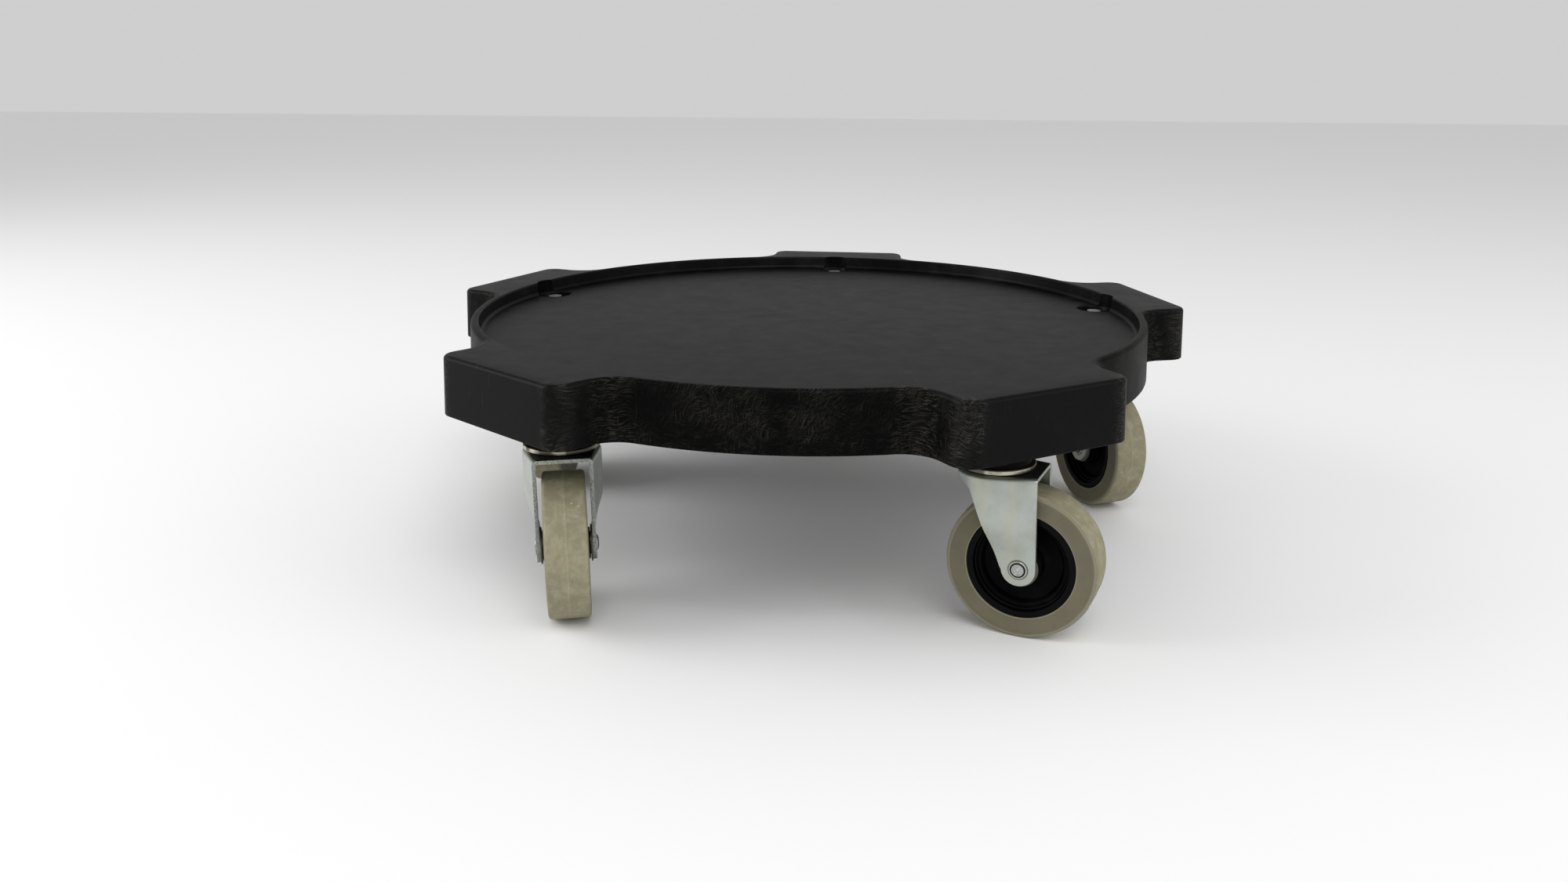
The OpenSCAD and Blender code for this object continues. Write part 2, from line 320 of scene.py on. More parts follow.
@dataclass(frozen=True)
class DeckPlastic:
    """Black moulded plastic with fine curved flow marks and grey scuffs on the outer wall, and painted
    light on the pods' outer walls.
    """

    black: float = 0.0009
    # A lighter black for the pods' outer walls: painted light, standing in for the light that the pod
    # faces catch.
    pod_painted_light: float = 0.003
    scuff: Colour = (0.058, 0.055, 0.043, 1.0)
    stroke_width: float = 0.00046
    stroke_length: float = 0.0062

    def strokes(self, g: Graph, skirt: Value, turn: float, swirl: float, seed: float) -> Value:
        """Short curved strokes on the wall.

        Args:
            g: The material's graph.
            skirt: The way along the outline, the height and the bend.
            turn: The strokes' slope in degrees.
            swirl: How far they are carried round by the swirls.
            seed: Moves the pattern, so that two layers differ.

        Returns:
            1 on a stroke, 0 between strokes.
        """
        offset = g.vector("ADD", {0: skirt, 1: (seed, 0.37 * seed, 0.0)})
        flat = g.stretch(offset, (1.0, 1.0, 0.0))
        drift = g.noise(flat, 48.0, 2.0, 0.55, 1)
        turned = g.stretch(g.shift(flat, drift, swirl), (1.0, 1.0, 1.0), turn)
        long = g.stretch(turned, (1 / self.stroke_length, 1 / self.stroke_width, 1.0))
        return g.noise(long, 1.0, 2.0, 0.62).step(0.5, 0.68)

    def material(self) -> bpy.types.Material:
        """Makes the material.

        The mesh's "skirt" attribute holds the way along the outline, the height, and how much
        the wall bends there; "zone" holds 1 on the outer wall, and 1 on the pods.
        """
        g = Graph("deck_plastic")
        place = g.place()
        skirt = g.attribute("skirt")
        bend = g.split(skirt)[2]
        wall, pod = g.split(g.attribute("zone"))[:2]
        patches = g.noise(place, 30.0, 3.0, 0.55)
        fine = g.noise(place, 1100.0, 2.0, 0.6)
        cloud = g.noise(place, 75.0, 4.0, 0.6)
        band = bend.step(0.12, 0.8)
        flat = (1 - band) * pod.step(0.6, 0.95)
        lying = self.strokes(g, skirt, 4.0, 0.014, 0.0) * (0.1 + 0.65 * band)
        leaning = self.strokes(g, skirt, -52.0, 0.02, 3.1) * 0.42 * cloud.step(0.36, 0.6)
        upright = self.strokes(g, skirt, -84.0, 0.016, 7.7) * 0.3 * patches.step(0.44, 0.64)
        marks = (lying + leaning + upright) * patches.step(0.28, 0.55) * wall * (1 - 0.85 * flat)
        scratch = g.noise(g.stretch(place, (900.0, 60.0, 60.0), 24.0), 1.0, 1.0, 0.5).step(0.71, 0.75)
        scratch = scratch * g.noise(place, 18.0, 1.0).step(0.56, 0.7)
        wear = g.noise(g.shift(place, g.noise(place, 14.0, 2.0, 0.5, 1), 0.03), 34.0, 5.0, 0.65)
        dusty = (1 - wall) * wear.step(0.45, 0.8)
        black = g.blend(fine * 0.4 + cloud * 0.6, grey(self.black), grey(self.black * 2.4, -0.03))
        # Painted light: the pods' outer walls get a lighter black than the round walls between them.
        base = g.blend(pod.step(0.35, 0.9) * wall, black, grey(self.pod_painted_light, -0.03))
        scuffed = g.blend(marks * 0.75 + scratch * 0.3, base, self.scuff)
        colour = g.blend(dusty * 0.1, scuffed, grey(0.1, 0.05))
        rough = 0.4 + 0.14 * marks + 0.16 * (cloud - 0.5) + 0.12 * dusty
        relief = marks * 0.6 + fine * 0.2 + patches * 0.6 + scratch * 0.4
        sheen = 0.02 + 0.075 * pod.step(0.3, 0.9) * wall + 0.06 * marks + 0.1 * (1 - wall)
        g.finish(
            relief, 0.00013, Base_Color=colour, Roughness=rough, Coat_Weight=sheen,
            Coat_Roughness=0.34, Specular_IOR_Level=0.02,
        )
        return g.material


@dataclass(frozen=True)
class ZincPlate:
    """Bright zinc-plated pressed steel with faint cloudy and yellowish streaks, painted shade on the
    crown's top and a painted contact shadow round the rivet head.
    """

    bright: Colour = (0.47, 0.5, 0.47, 1.0)
    cloudy: Colour = (0.4, 0.43, 0.39, 1.0)
    straw: Colour = (0.5, 0.48, 0.33, 1.0)
    # Dark of torn metal at nicks and sheared edges, also used for the painted contact shadow round the
    # rivet head.
    torn_and_shadow: Colour = (0.17, 0.17, 0.14, 1.0)
    axle: Point = (0.0178, 0.0381)
    # Radius of the painted contact shadow round the rivet head.
    contact_shadow_radius: float = 0.0048

    def material(self) -> bpy.types.Material:
        """Makes the material; the "form" attribute holds the caster's own coordinates."""
        g = Graph("zinc_plate")
        place = g.place()
        form = g.attribute("form")
        cloud = g.noise(place, 60.0, 4.0, 0.6)
        drawn = g.noise(g.stretch(form, (180.0, 700.0, 26.0)), 1.0, 3.0, 0.6)
        grain = g.noise(place, 2600.0, 2.0, 0.6)
        edge = g.split(g.attribute("zone"))[0]
        sheared = g.noise(g.stretch(form, (2200.0, 2200.0, 1500.0)), 1.0, 2.0, 0.7).step(0.42, 0.6)
        # Painted shade: the crown's top is painted near black for the shade under the deck and a
        # painted reflection of its black underside.
        painted_shade = g.split(g.attribute("zone"))[1]
        stain = g.noise(g.stretch(form, (125.0, 70.0, 24.0), 6.0), 1.0, 5.0, 0.65).step(0.46, 0.7)
        nicks = g.cells(g.shift(place, cloud, 0.004), 330.0).step(0.09, 0.04)
        nicks = nicks * g.noise(place, 70.0, 1.0).step(0.52, 0.62)
        tone = g.blend(cloud.step(0.35, 0.7), self.bright, self.cloudy)
        tinted = g.blend(stain * 0.6, tone, self.straw)
        along, _, up = g.split(form)
        level, plumb = (along - self.axle[0]).absolute(), (up - self.axle[1]).absolute()
        away = (level.power(2) + plumb.power(2)).power(0.5)
        # Painted contact shadow: a thin dark ring round the rivet head on the fork.
        ring = (away - self.contact_shadow_radius).absolute().step(0.0006, 0.0002)
        nicked_and_shadowed = g.blend(nicks * 0.7 + edge * sheared * 0.8 + ring * 0.95, tinted, self.torn_and_shadow)
        # Painted shade on the crown's top, from the mask above.
        colour = g.blend(painted_shade * 0.92, nicked_and_shadowed, grey(0.012, 0.15))
        rough = 0.3 + 0.16 * cloud + 0.1 * drawn + 0.12 * edge + 0.25 * painted_shade
        relief = drawn * 0.3 + grain * 0.25 + edge * sheared * 0.8
        g.finish(relief, 0.00006, Base_Color=colour, Metallic=0.9, Roughness=rough)
        return g.material


@dataclass(frozen=True)
class SmallSteel:
    """Plated small steel pieces: pins, rivets, nuts, races and balls, with painted shade in the rivet's
    groove and on the race above its rim.
    """

    name: str
    tint: Colour
    rough: float
    stain: float = 0.35
    # Above this height the piece is painted near black: painted shade and a painted reflection of the
    # deck's underside.
    painted_shade_above: float = 1.0
    smear: float = 0.0
    # Radius of the rivet's groove, where shade is painted.
    groove_radius: float = 0.0035

    def material(self) -> bpy.types.Material:
        """Makes the material."""
        g = Graph(self.name)
        place = g.place()
        cloud = g.noise(place, 220.0, 4.0, 0.6)
        grain = g.noise(place, 3200.0, 2.0, 0.6)
        dark = tuple(part * 0.45 for part in self.tint[:3]) + (1.0,)
        tinted = g.blend(cloud.step(0.5, 0.8) * self.stain, self.tint, dark)
        form = g.attribute("form")
        height = g.split(form)[2]
        radius = g.from_axle(form)
        # Painted shade in the rivet's groove.
        groove = (radius - self.groove_radius).absolute().step(0.0006, 0.0003)
        smear = g.noise(place, 55.0, 3.0, 0.6).step(0.44, 0.56) * self.smear
        # Painted shade: the groove, and the part above the given height, are painted near black.
        painted_shade = groove + (1 - groove) * height.step(self.painted_shade_above, self.painted_shade_above + 0.0003)
        colour = g.blend(painted_shade * 0.94 + (1 - painted_shade) * smear, tinted, grey(0.012, 0.15))
        rough = self.rough + 0.2 * (cloud - 0.5) + 0.1 * grain + 0.2 * painted_shade
        g.finish(cloud * 0.4 + grain * 0.3, 0.00005, Base_Color=colour, Metallic=0.9, Roughness=rough)
        return g.material


@dataclass(frozen=True)
class HubPlastic:
    """Black hub plastic, glossier on the rim, dusty in the recesses."""

    black: float = 0.0008
    rim_from: float = 0.0228

    def material(self) -> bpy.types.Material:
        """Makes the material; "form" is the wheel's own frame with Y along the axle."""
        g = Graph("hub_plastic")
        place = g.place()
        form = g.attribute("form")
        dust = g.noise(place, 90.0, 4.0, 0.65)
        fine = g.noise(place, 1500.0, 2.0, 0.6)
        swept = g.from_axle(form)
        rings = g.node(
            "ShaderNodeTexNoise",
            {"noise_dimensions": "1D"},
            {"W": swept, "Scale": 2600.0, "Detail": 1.0},
        )
        rim = swept.step(self.rim_from, self.rim_from + 0.0008)
        colour = g.blend(
            dust.step(0.45, 0.8) * (1 - 0.7 * rim) * 0.35, grey(self.black, -0.02), grey(0.012, 0.1)
        )
        rough = 0.42 - 0.12 * rim + 0.16 * dust
        g.finish(
            rings * 0.12 + fine * 0.25, 0.00005, Base_Color=colour, Roughness=rough,
            Coat_Weight=0.01 + 0.07 * rim, Coat_Roughness=0.3, Specular_IOR_Level=0.04,
        )
        return g.material


@dataclass(frozen=True)
class GreyRubber:
    """Warm grey rubber: smooth sidewalls, a paler scuffed tread and a few dark specks, with painted
    highlights on the shoulder and on the lip at the hub.
    """

    side: Colour = (0.162, 0.146, 0.094, 1.0)
    side_dull: Colour = (0.14, 0.127, 0.083, 1.0)
    tread: Colour = (0.245, 0.224, 0.142, 1.0)
    tread_worn: Colour = (0.325, 0.3, 0.2, 1.0)
    dirt: Colour = (0.05, 0.043, 0.03, 1.0)
    fleck: Colour = (0.5, 0.48, 0.38, 1.0)
    tread_from: float = 0.0368
    # Radius of the painted highlight line on the tyre's shoulder.
    shoulder_highlight_radius: float = 0.0366
    # Radius of the painted highlight on the tyre's lip against the hub.
    lip_highlight_radius: float = 0.0277

    def material(self) -> bpy.types.Material:
        """Makes the material; "form" is the wheel's own frame with Y along the axle."""
        g = Graph("grey_rubber")
        place = g.place()
        form = g.attribute("form")
        across = g.split(form)[1]
        radius = g.from_axle(form)
        cloud = g.noise(place, 70.0, 4.0, 0.6)
        fine = g.noise(place, 1800.0, 3.0, 0.65)
        on_tread = radius.step(self.tread_from, self.tread_from + 0.0009)
        # Painted highlight: a thin pale line along the tyre's lip at the hub.
        lip = (radius - self.lip_highlight_radius).absolute().step(0.0003, 0.0001)
        wear = g.noise(g.shift(place, g.noise(place, 60.0, 2.0, 0.5, 1), 0.01), 160.0, 5.0, 0.7)
        scrape = g.noise(g.stretch(form, (160.0, 1500.0, 160.0), 20.0), 1.0, 3.0, 0.6)
        specks = g.cells(place, 240.0).step(0.13, 0.06) * g.noise(place, 60.0, 1.0).step(0.56, 0.66)
        pale = g.cells(g.shift(place, wear, 0.002), 170.0).step(0.12, 0.05)
        pale = pale * g.noise(place, 45.0, 1.0).step(0.55, 0.66)
        seam = across.absolute().step(0.0006, 0.0002) * on_tread
        side = g.blend(cloud.step(0.3, 0.7), self.side, self.side_dull)
        tread = g.blend(wear.step(0.38, 0.68), self.tread, self.tread_worn)
        mixed = g.blend(on_tread, side, tread)
        rubbed = g.noise(g.stretch(form, (900.0, 260.0, 120.0), 0.0), 1.0, 3.0, 0.6).step(0.64, 0.72)
        rubbed = rubbed * g.noise(place, 38.0, 1.0).step(0.55, 0.68) * 0.55
        scraped = g.blend(scrape.step(0.62, 0.75) * on_tread * 0.3 + rubbed, mixed, grey(0.06, 0.16))
        speckled = g.blend(specks * (0.25 + 0.55 * on_tread), scraped, self.dirt)
        flecked = g.blend(pale * on_tread * 0.8 + seam * 0.16, speckled, self.fleck)
        # Painted highlight: a pale line round the tyre's shoulder.
        shoulder_highlight = (radius - self.shoulder_highlight_radius).absolute().step(0.0009, 0.0002)
        with_shoulder_highlight = g.blend(shoulder_highlight * 0.35, flecked, (0.4, 0.38, 0.3, 1.0))
        # Painted highlight on the lip, from the mask above.
        colour = g.blend(lip * 0.4, with_shoulder_highlight, (0.36, 0.34, 0.28, 1.0))
        rough = 0.5 + 0.18 * on_tread + 0.12 * (wear - 0.5) + 0.08 * fine
        relief = fine * 0.3 + wear * on_tread * 0.6 + scrape * on_tread * 0.3 + cloud * 0.3
        g.finish(relief, 0.00016, Base_Color=colour, Roughness=rough, Specular_IOR_Level=0.25)
        return g.material


@dataclass(frozen=True)
class WasherPlastic:
    """Olive grey plastic of the washers beside the hub."""

    def material(self) -> bpy.types.Material:
        """Makes the material."""
        g = Graph("washer_grey")
        place = g.place()
        cloud = g.noise(place, 300.0, 3.0, 0.6)
        colour = g.blend(cloud, (0.06, 0.057, 0.04, 1.0), (0.1, 0.096, 0.075, 1.0))
        g.finish(cloud, 0.00004, Base_Color=colour, Roughness=0.42 + 0.15 * cloud)
        return g.material


class Finish(Enum):
    """The record's material slots."""

    DECK = "deck_plastic"
    FORK = "zinc_plate"
    PIN = "zinc_dull"
    RACE = "zinc_race"
    BALL = "ball_steel"
    SLEEVE = "sleeve_grey"
    WASHER = "washer_grey"
    HUB = "hub_plastic"
    TYRE = "grey_rubber"


def make_finishes() -> dict[Finish, bpy.types.Material]:
    """Makes every material once.

    Returns:
        The material of each slot.
    """
    return {
        Finish.DECK: DeckPlastic().material(),
        Finish.FORK: ZincPlate().material(),
        Finish.PIN: SmallSteel("zinc_dull", (0.5, 0.51, 0.48, 1.0), 0.3).material(),
        Finish.RACE: SmallSteel(
            # The race is painted dark above its rim as painted shade.
            "zinc_race", (0.52, 0.49, 0.38, 1.0), 0.34, painted_shade_above=0.0884, smear=0.8
        ).material(),
        Finish.BALL: SmallSteel("ball_steel", (0.6, 0.6, 0.6, 1.0), 0.12, 0.1).material(),
        Finish.SLEEVE: SmallSteel("sleeve_grey", (0.36, 0.35, 0.3, 1.0), 0.4).material(),
        Finish.WASHER: WasherPlastic().material(),
        Finish.HUB: HubPlastic().material(),
        Finish.TYRE: GreyRubber().material(),
    }


# --- modelling by hand -------------------------------------------------------


def clear_selection() -> None:
    """Deselects every object, so that an operator acts on the new piece alone."""
    if bpy.context.object and bpy.context.object.mode != "OBJECT":
        bpy.ops.object.mode_set(mode="OBJECT")
    bpy.ops.object.select_all(action="DESELECT")


def take_up(piece: Piece) -> None:
    """Makes a piece the only selected and active object."""
    clear_selection()
    piece.select_set(True)
    bpy.context.view_layer.objects.active = piece


def name_new(name: str) -> Piece:
    """Names the primitive that was just added."""
    piece = bpy.context.object
    piece.name = name
    piece.data.name = name
    return piece


def tidy(piece: Piece, smooth_angle: float = 35.0) -> Piece:
    """Merges doubles, turns the faces outwards and smooths.

    Args:
        piece: The mesh object.
        smooth_angle: Edges sharper than this many degrees stay sharp.

    Returns:
        The same object.
    """
    take_up(piece)
    bpy.ops.object.mode_set(mode="EDIT")
    bpy.ops.mesh.select_all(action="SELECT")
    bpy.ops.mesh.remove_doubles(threshold=0.000002)
    bpy.ops.mesh.dissolve_degenerate(threshold=0.000001)
    bpy.ops.mesh.normals_make_consistent(inside=False)
    bpy.ops.object.mode_set(mode="OBJECT")
    bpy.ops.object.shade_smooth_by_angle(angle=math.radians(smooth_angle))
    return piece


def apply_modifier(piece: Piece, kind: str, **settings: Any) -> None:
    """Adds a modifier, sets it and applies it.

    Args:
        piece: The mesh object.
        kind: The modifier's type.
        settings: Its properties.
    """
    take_up(piece)
    modifier = piece.modifiers.new(kind.lower(), kind)
    for name, value in settings.items():
        setattr(modifier, name, value)
    bpy.ops.object.modifier_apply(modifier=modifier.name)


def lathe(name: str, profile: Sequence[Point], steps: int, closed: bool) -> Piece:
    """Draws a profile point by point and spins it about Z.

    Args:
        name: The piece's name.
        profile: Radius and height of each point.
        steps: The number of steps round.
        closed: True where the profile's last point joins its first.

    Returns:
        The turned piece.
    """
    clear_selection()
    bpy.ops.mesh.primitive_plane_add(size=MM, location=(0.0, 0.0, 0.0))
    piece = name_new(name)
    bpy.ops.object.mode_set(mode="EDIT")
    bpy.ops.mesh.select_all(action="SELECT")
    bpy.ops.mesh.merge(type="CENTER")
    start = Vector((profile[0][0], 0.0, profile[0][1]))
    bpy.ops.transform.translate(value=start)
    last = start
    for radius, height in profile[1:]:
        here = Vector((radius, 0.0, height))
        bpy.ops.mesh.extrude_region_move(TRANSFORM_OT_translate={"value": here - last})
        last = here
    if closed:
        bpy.ops.mesh.extrude_region_move(TRANSFORM_OT_translate={"value": start - last})
    bpy.ops.mesh.select_all(action="SELECT")
    bpy.ops.mesh.remove_doubles(threshold=0.000001)
    bpy.ops.mesh.select_all(action="SELECT")
    bpy.ops.mesh.spin(
        steps=steps, angle=math.tau, center=(0.0, 0.0, 0.0), axis=(0.0, 0.0, 1.0), use_auto_merge=False
    )
    bpy.ops.object.mode_set(mode="OBJECT")
    return tidy(piece)


def rounded(points: Sequence[tuple[float, float, float]], steps: int = 4) -> list[Point]:
    """A profile with its corners rounded.

    Args:
        points: Radius, height and corner radius of each corner.
        steps: The number of steps in each rounded corner.

    Returns:
        The profile's points; the first and last corners stay sharp.
    """
    made: list[Point] = []
    for index, (x, y, radius) in enumerate(points):
        if radius == 0 or index in (0, len(points) - 1):
            made.append((x, y))
            continue
        corner = Vector((x, y))
        before = (Vector(points[index - 1][:2]) - corner).normalized()
        after = (Vector(points[index + 1][:2]) - corner).normalized()
        half = before.angle(after) / 2
        centre = corner + (before + after).normalized() * (radius / math.sin(half))
        first = corner + before * (radius / math.tan(half)) - centre
        last = corner + after * (radius / math.tan(half)) - centre
        sweep = -first.angle_signed(last)
        for step in range(steps + 1):
            turn = math.atan2(first.y, first.x) + sweep * step / steps
            made.append((centre.x + radius * math.cos(turn), centre.y + radius * math.sin(turn)))
    return made


def rolled_grid(
    name: str, across: int, along: int, spot: Callable[[int, int], Vector]
) -> Piece:
    """Lays a grid on a surface.

    Args:
        name: The piece's name.
        across: The number of cells on the first side.
        along: The number of cells on the second side.
        spot: Gives the place of a grid point from its two numbers.

    Returns:
        The shaped grid.
    """
    clear_selection()
    bpy.ops.mesh.primitive_grid_add(x_subdivisions=across, y_subdivisions=along, size=1.0)
    piece = name_new(name)
    for vertex in piece.data.vertices:
        column = round((vertex.co.x + 0.5) * across)
        row = round((vertex.co.y + 0.5) * along)
        vertex.co = spot(column, row)
    return piece


def join(pieces: Sequence[Piece], name: str) -> Piece:
    """Joins several meshes into the first.

    Args:
        pieces: The meshes.
        name: The joined piece's name.

    Returns:
        The joined piece.
    """
    clear_selection()
    for piece in pieces:
        piece.select_set(True)
    bpy.context.view_layer.objects.active = pieces[0]
    bpy.ops.object.join()
    return name_new(name)


def cut_away(piece: Piece, cutter: Piece) -> None:
    """Cuts one closed mesh out of another and removes the cutter."""
    apply_modifier(piece, "BOOLEAN", object=cutter, operation="DIFFERENCE", solver="EXACT")
    bpy.data.objects.remove(cutter, do_unlink=True)


def merge_in(piece: Piece, addition: Piece) -> None:
    """Unites one closed mesh with another and removes the second."""
    apply_modifier(piece, "BOOLEAN", object=addition, operation="UNION", solver="EXACT")
    bpy.data.objects.remove(addition, do_unlink=True)


def move_mesh(piece: Piece, matrix: Matrix) -> Piece:
    """Moves a mesh inside its object, whose own place stays at the origin."""
    piece.data.transform(piece.matrix_basis)
    piece.matrix_basis = Matrix.Identity(4)
    piece.data.transform(matrix)
    return piece


def store_vectors(piece: Piece, name: str, vectors: Iterable[Vector]) -> None:
    """Stores a vector on each vertex for a material to read."""
    stored = piece.data.attributes.new(name, "FLOAT_VECTOR", "POINT")
    for item, vector in zip(stored.data, vectors):
        item.vector = vector


def copy_of(piece: Piece, name: str) -> Piece:
    """Copies a piece with a mesh of its own.

    Args:
        piece: The piece to copy.
        name: The copy's name.

    Returns:
        The copy.
    """
    copied = piece.copy()
    copied.data = piece.data.copy()
    copied.name = name
    copied.data.name = name
    bpy.context.scene.collection.objects.link(copied)
    return copied


def dress(piece: Piece, material: bpy.types.Material) -> None:
    """Gives a piece one material."""
    piece.data.materials.clear()
    piece.data.materials.append(material)


# --- deck --------------------------------------------------------------------


@dataclass
class Outline:
    """The deck's plan: a circle with five flat-faced pods, blended into it."""

    arc: float = 202.4 * MM
    face: float = 228.4 * MM
    half_width: float = 50.8 * MM
    corner: float = 10.6 * MM
    blend: float = 18.2 * MM
    first_pod: float = -126.0
    face_steps: int = 20
    corner_steps: int = 14
    side_steps: int = 2
    blend_steps: int = 14
    arc_steps: int = 14

    def half_sector(self, inset: float) -> list[tuple[float, float]]:
        """Points from the middle of a pod's face to the middle of the next round wall.

        Args:
            inset: How far inside the true outline the points lie.

        Returns:
            Points with X out through the pod's face.
        """
        half = self.half_width - inset
        corner = max(self.corner - inset, 0.0002)
        blend = self.blend + inset
        face = self.face - inset
        reach = self.arc + self.blend
        centre_y = self.half_width + self.blend
        centre_x = math.sqrt(reach * reach - centre_y * centre_y)
        points = [(face, (half - corner) * step / self.face_steps) for step in range(self.face_steps)]
        for step in range(self.corner_steps + 1):
            turn = math.radians(90 * step / self.corner_steps)
            points.append(
                (face - corner + corner * math.cos(turn), half - corner + corner * math.sin(turn))
            )
        side_from = face - corner
        for step in range(1, self.side_steps + 1):
            points.append((side_from + (centre_x - side_from) * step / self.side_steps, half))
        sweep = math.pi / 2 - math.atan2(centre_y, centre_x)
        for step in range(1, self.blend_steps + 1):
            turn = -math.pi / 2 - sweep * step / self.blend_steps
            points.append((centre_x + blend * math.cos(turn), centre_y + blend * math.sin(turn)))
        start = math.atan2(centre_y, centre_x)
        arc = self.arc - inset
        for step in range(1, self.arc_steps + 1):
            turn = start + (math.radians(36) - start) * step / self.arc_steps
            points.append((arc * math.cos(turn), arc * math.sin(turn)))
        return points

    def ring(self, inset: float) -> list[Vector]:
        """The whole outline, counter-clockwise, with its last point left out.

        Args:
            inset: How far inside the true outline the points lie.

        Returns:
            The points in the plane Z = 0.
        """
        half = self.half_sector(inset)
        sector = [(x, -y) for x, y in reversed(half[1:])] + half[:-1]
        points = []
        for pod in range(5):
            turn = Matrix.Rotation(math.radians(self.first_pod + 72 * pod), 3, "Z")
            points += [turn @ Vector((x, y, 0.0)) for x, y in sector]
        return points


@dataclass
class Deck:
    """The moulded deck."""

    outline: Outline = field(default_factory=Outline)
    bottom: float = 101.2 * MM
    top: float = 132.7 * MM
    seat: float = 124.7 * MM
    wall: float = 4.0 * MM
    seat_radius: float = 196.0 * MM
    draft: float = 1.5 * MM
    top_round: float = 2.4 * MM
    bottom_round: float = 0.7 * MM
    rim_round: float = 1.4 * MM
    swivel_circle: float = 188.2 * MM
    boss_radius: float = 14.0 * MM
    boss_bottom: float = 96.0 * MM
    pocket_radius: float = 10.5 * MM
    pocket_floor: float = 112.0 * MM
    stem_hole: float = 5.3 * MM
    rib: float = 3.0 * MM
    rib_bottom: float = 105.0 * MM
    rib_round: float = 0.5 * MM
    hub_ring: float = 24.0 * MM
    pocket_lip: float = 0.7 * MM
    clear: float = 3.0 * MM

    def wall_rows(self) -> list[tuple[float, float]]:
        """Inset and height of the outer wall's rows, from the lower edge to the flat top."""
        rows = []
        for step in range(5):
            turn = math.radians(90 * step / 4)
            rows.append(
                (
                    self.bottom_round * (1 - math.sin(turn)),
                    self.bottom + self.bottom_round * (1 - math.cos(turn)),
                )
            )
        low, high = self.bottom + self.bottom_round, self.top - self.top_round
        for step in range(1, 12):
            rise = step / 12
            rows.append((self.draft * rise, low + (high - low) * rise))
        for step in range(8):
            turn = math.radians(90 * step / 7)
            rows.append(
                (
                    self.draft + self.top_round * (1 - math.cos(turn)),
                    high + self.top_round * math.sin(turn),
                )
            )
        return rows

    def seat_rows(self) -> list[Point]:
        """Radius and height of the rows from the rim's inner edge to the seat's middle."""
        profile = rounded(
            [
                (self.seat_radius + self.rim_round, self.top, 0.0),
                (self.seat_radius + 0.2 * MM, self.top, self.rim_round * 0.85),
                (self.seat_radius - 0.3 * MM, self.seat, 2.2 * MM),
                (self.seat_radius - 12 * MM, self.seat, 0.0),
            ],
            6,
        )
        inner = [(radius * MM, self.seat) for radius in (170, 150, 130, 110, 90, 70, 50, 35, 20, 8)]
        return profile + inner + [(0.0, self.seat)]

    def shell(self) -> Piece:
        """The deck's skin: outer wall, rim, seat, and the hollow underside."""
        true_ring = self.outline.ring(0.0)
        count = len(true_ring)
        angles = [math.atan2(p.y, p.x) for p in true_ring]
        rings: list[list[Vector]] = []

        def circle(radius: float, height: float) -> list[Vector]:
            """A circle of points at the outline's own angles."""
            return [Vector((radius * math.cos(a), radius * math.sin(a), height)) for a in angles]

        inner_wall = self.outline.ring(self.wall)
        under_seat = self.seat - self.wall
        under_top = self.top - self.wall
        ring_wall = self.seat_radius + self.wall
        beyond = [p.xy.length > ring_wall + 0.5 * MM for p in inner_wall]
        ceilings = [under_top if out else under_seat for out in beyond]
        stops = [
            p * min(1.0, ring_wall / p.xy.length) if out else p
            for p, out in zip(inner_wall, beyond)
        ]
        rings.append(circle(0.0, under_seat))
        for radius in (20, 60, 100, 140, 180):
            rings.append(circle(radius * MM, under_seat))
        rings.append([Vector((p.x, p.y, under_seat)) for p in stops])
        rings.append([Vector((p.x, p.y, z)) for p, z in zip(stops, ceilings)])
        rings.append([Vector((p.x, p.y, z)) for p, z in zip(inner_wall, ceilings)])
        foot = self.bottom + 0.3 * MM
        rings.append([Vector((p.x, p.y, foot)) for p in inner_wall])
        rings.append([Vector((p.x, p.y, self.bottom)) for p in self.outline.ring(self.wall - 0.3 * MM)])
        for inset, height in self.wall_rows():
            rings.append([Vector((p.x, p.y, height)) for p in self.outline.ring(inset)])
        rim = rings[-1]
        seat_rows = self.seat_rows()
        edge = circle(seat_rows[0][0], self.top)
        for share in (0.25, 0.75):
            rings.append([a.lerp(b, share) for a, b in zip(rim, edge)])
        rings += [circle(radius, height) for radius, height in seat_rows]
        shell = rolled_grid("deck", len(rings) - 1, count, lambda i, j: rings[i][j % count])
        return tidy(shell, 40.0)

    def pod_axes(self) -> list[Matrix]:
        """The five swivel axes at floor level, with X out through the pod's face."""
        axes = []
        for pod in range(5):
            turn = Matrix.Rotation(math.radians(self.outline.first_pod + 72 * pod), 4, "Z")
            axes.append(turn @ Matrix.Translation((self.swivel_circle, 0.0, 0.0)))
        return axes

    def boss(self) -> Piece:
        """The boss under one pod, with a rounded lower edge."""
        profile = rounded(
            [
                (0.0, self.boss_bottom, 0.0),
                (self.boss_radius, self.boss_bottom, 1.0 * MM),
                (self.boss_radius, self.boss_bottom + 14 * MM, 0.0),
                (self.boss_radius + 1.2 * MM, self.seat - 2 * MM, 0.0),
                (0.0, self.seat - 2 * MM, 0.0),
            ]
        )
        return lathe("boss", profile, 64, False)

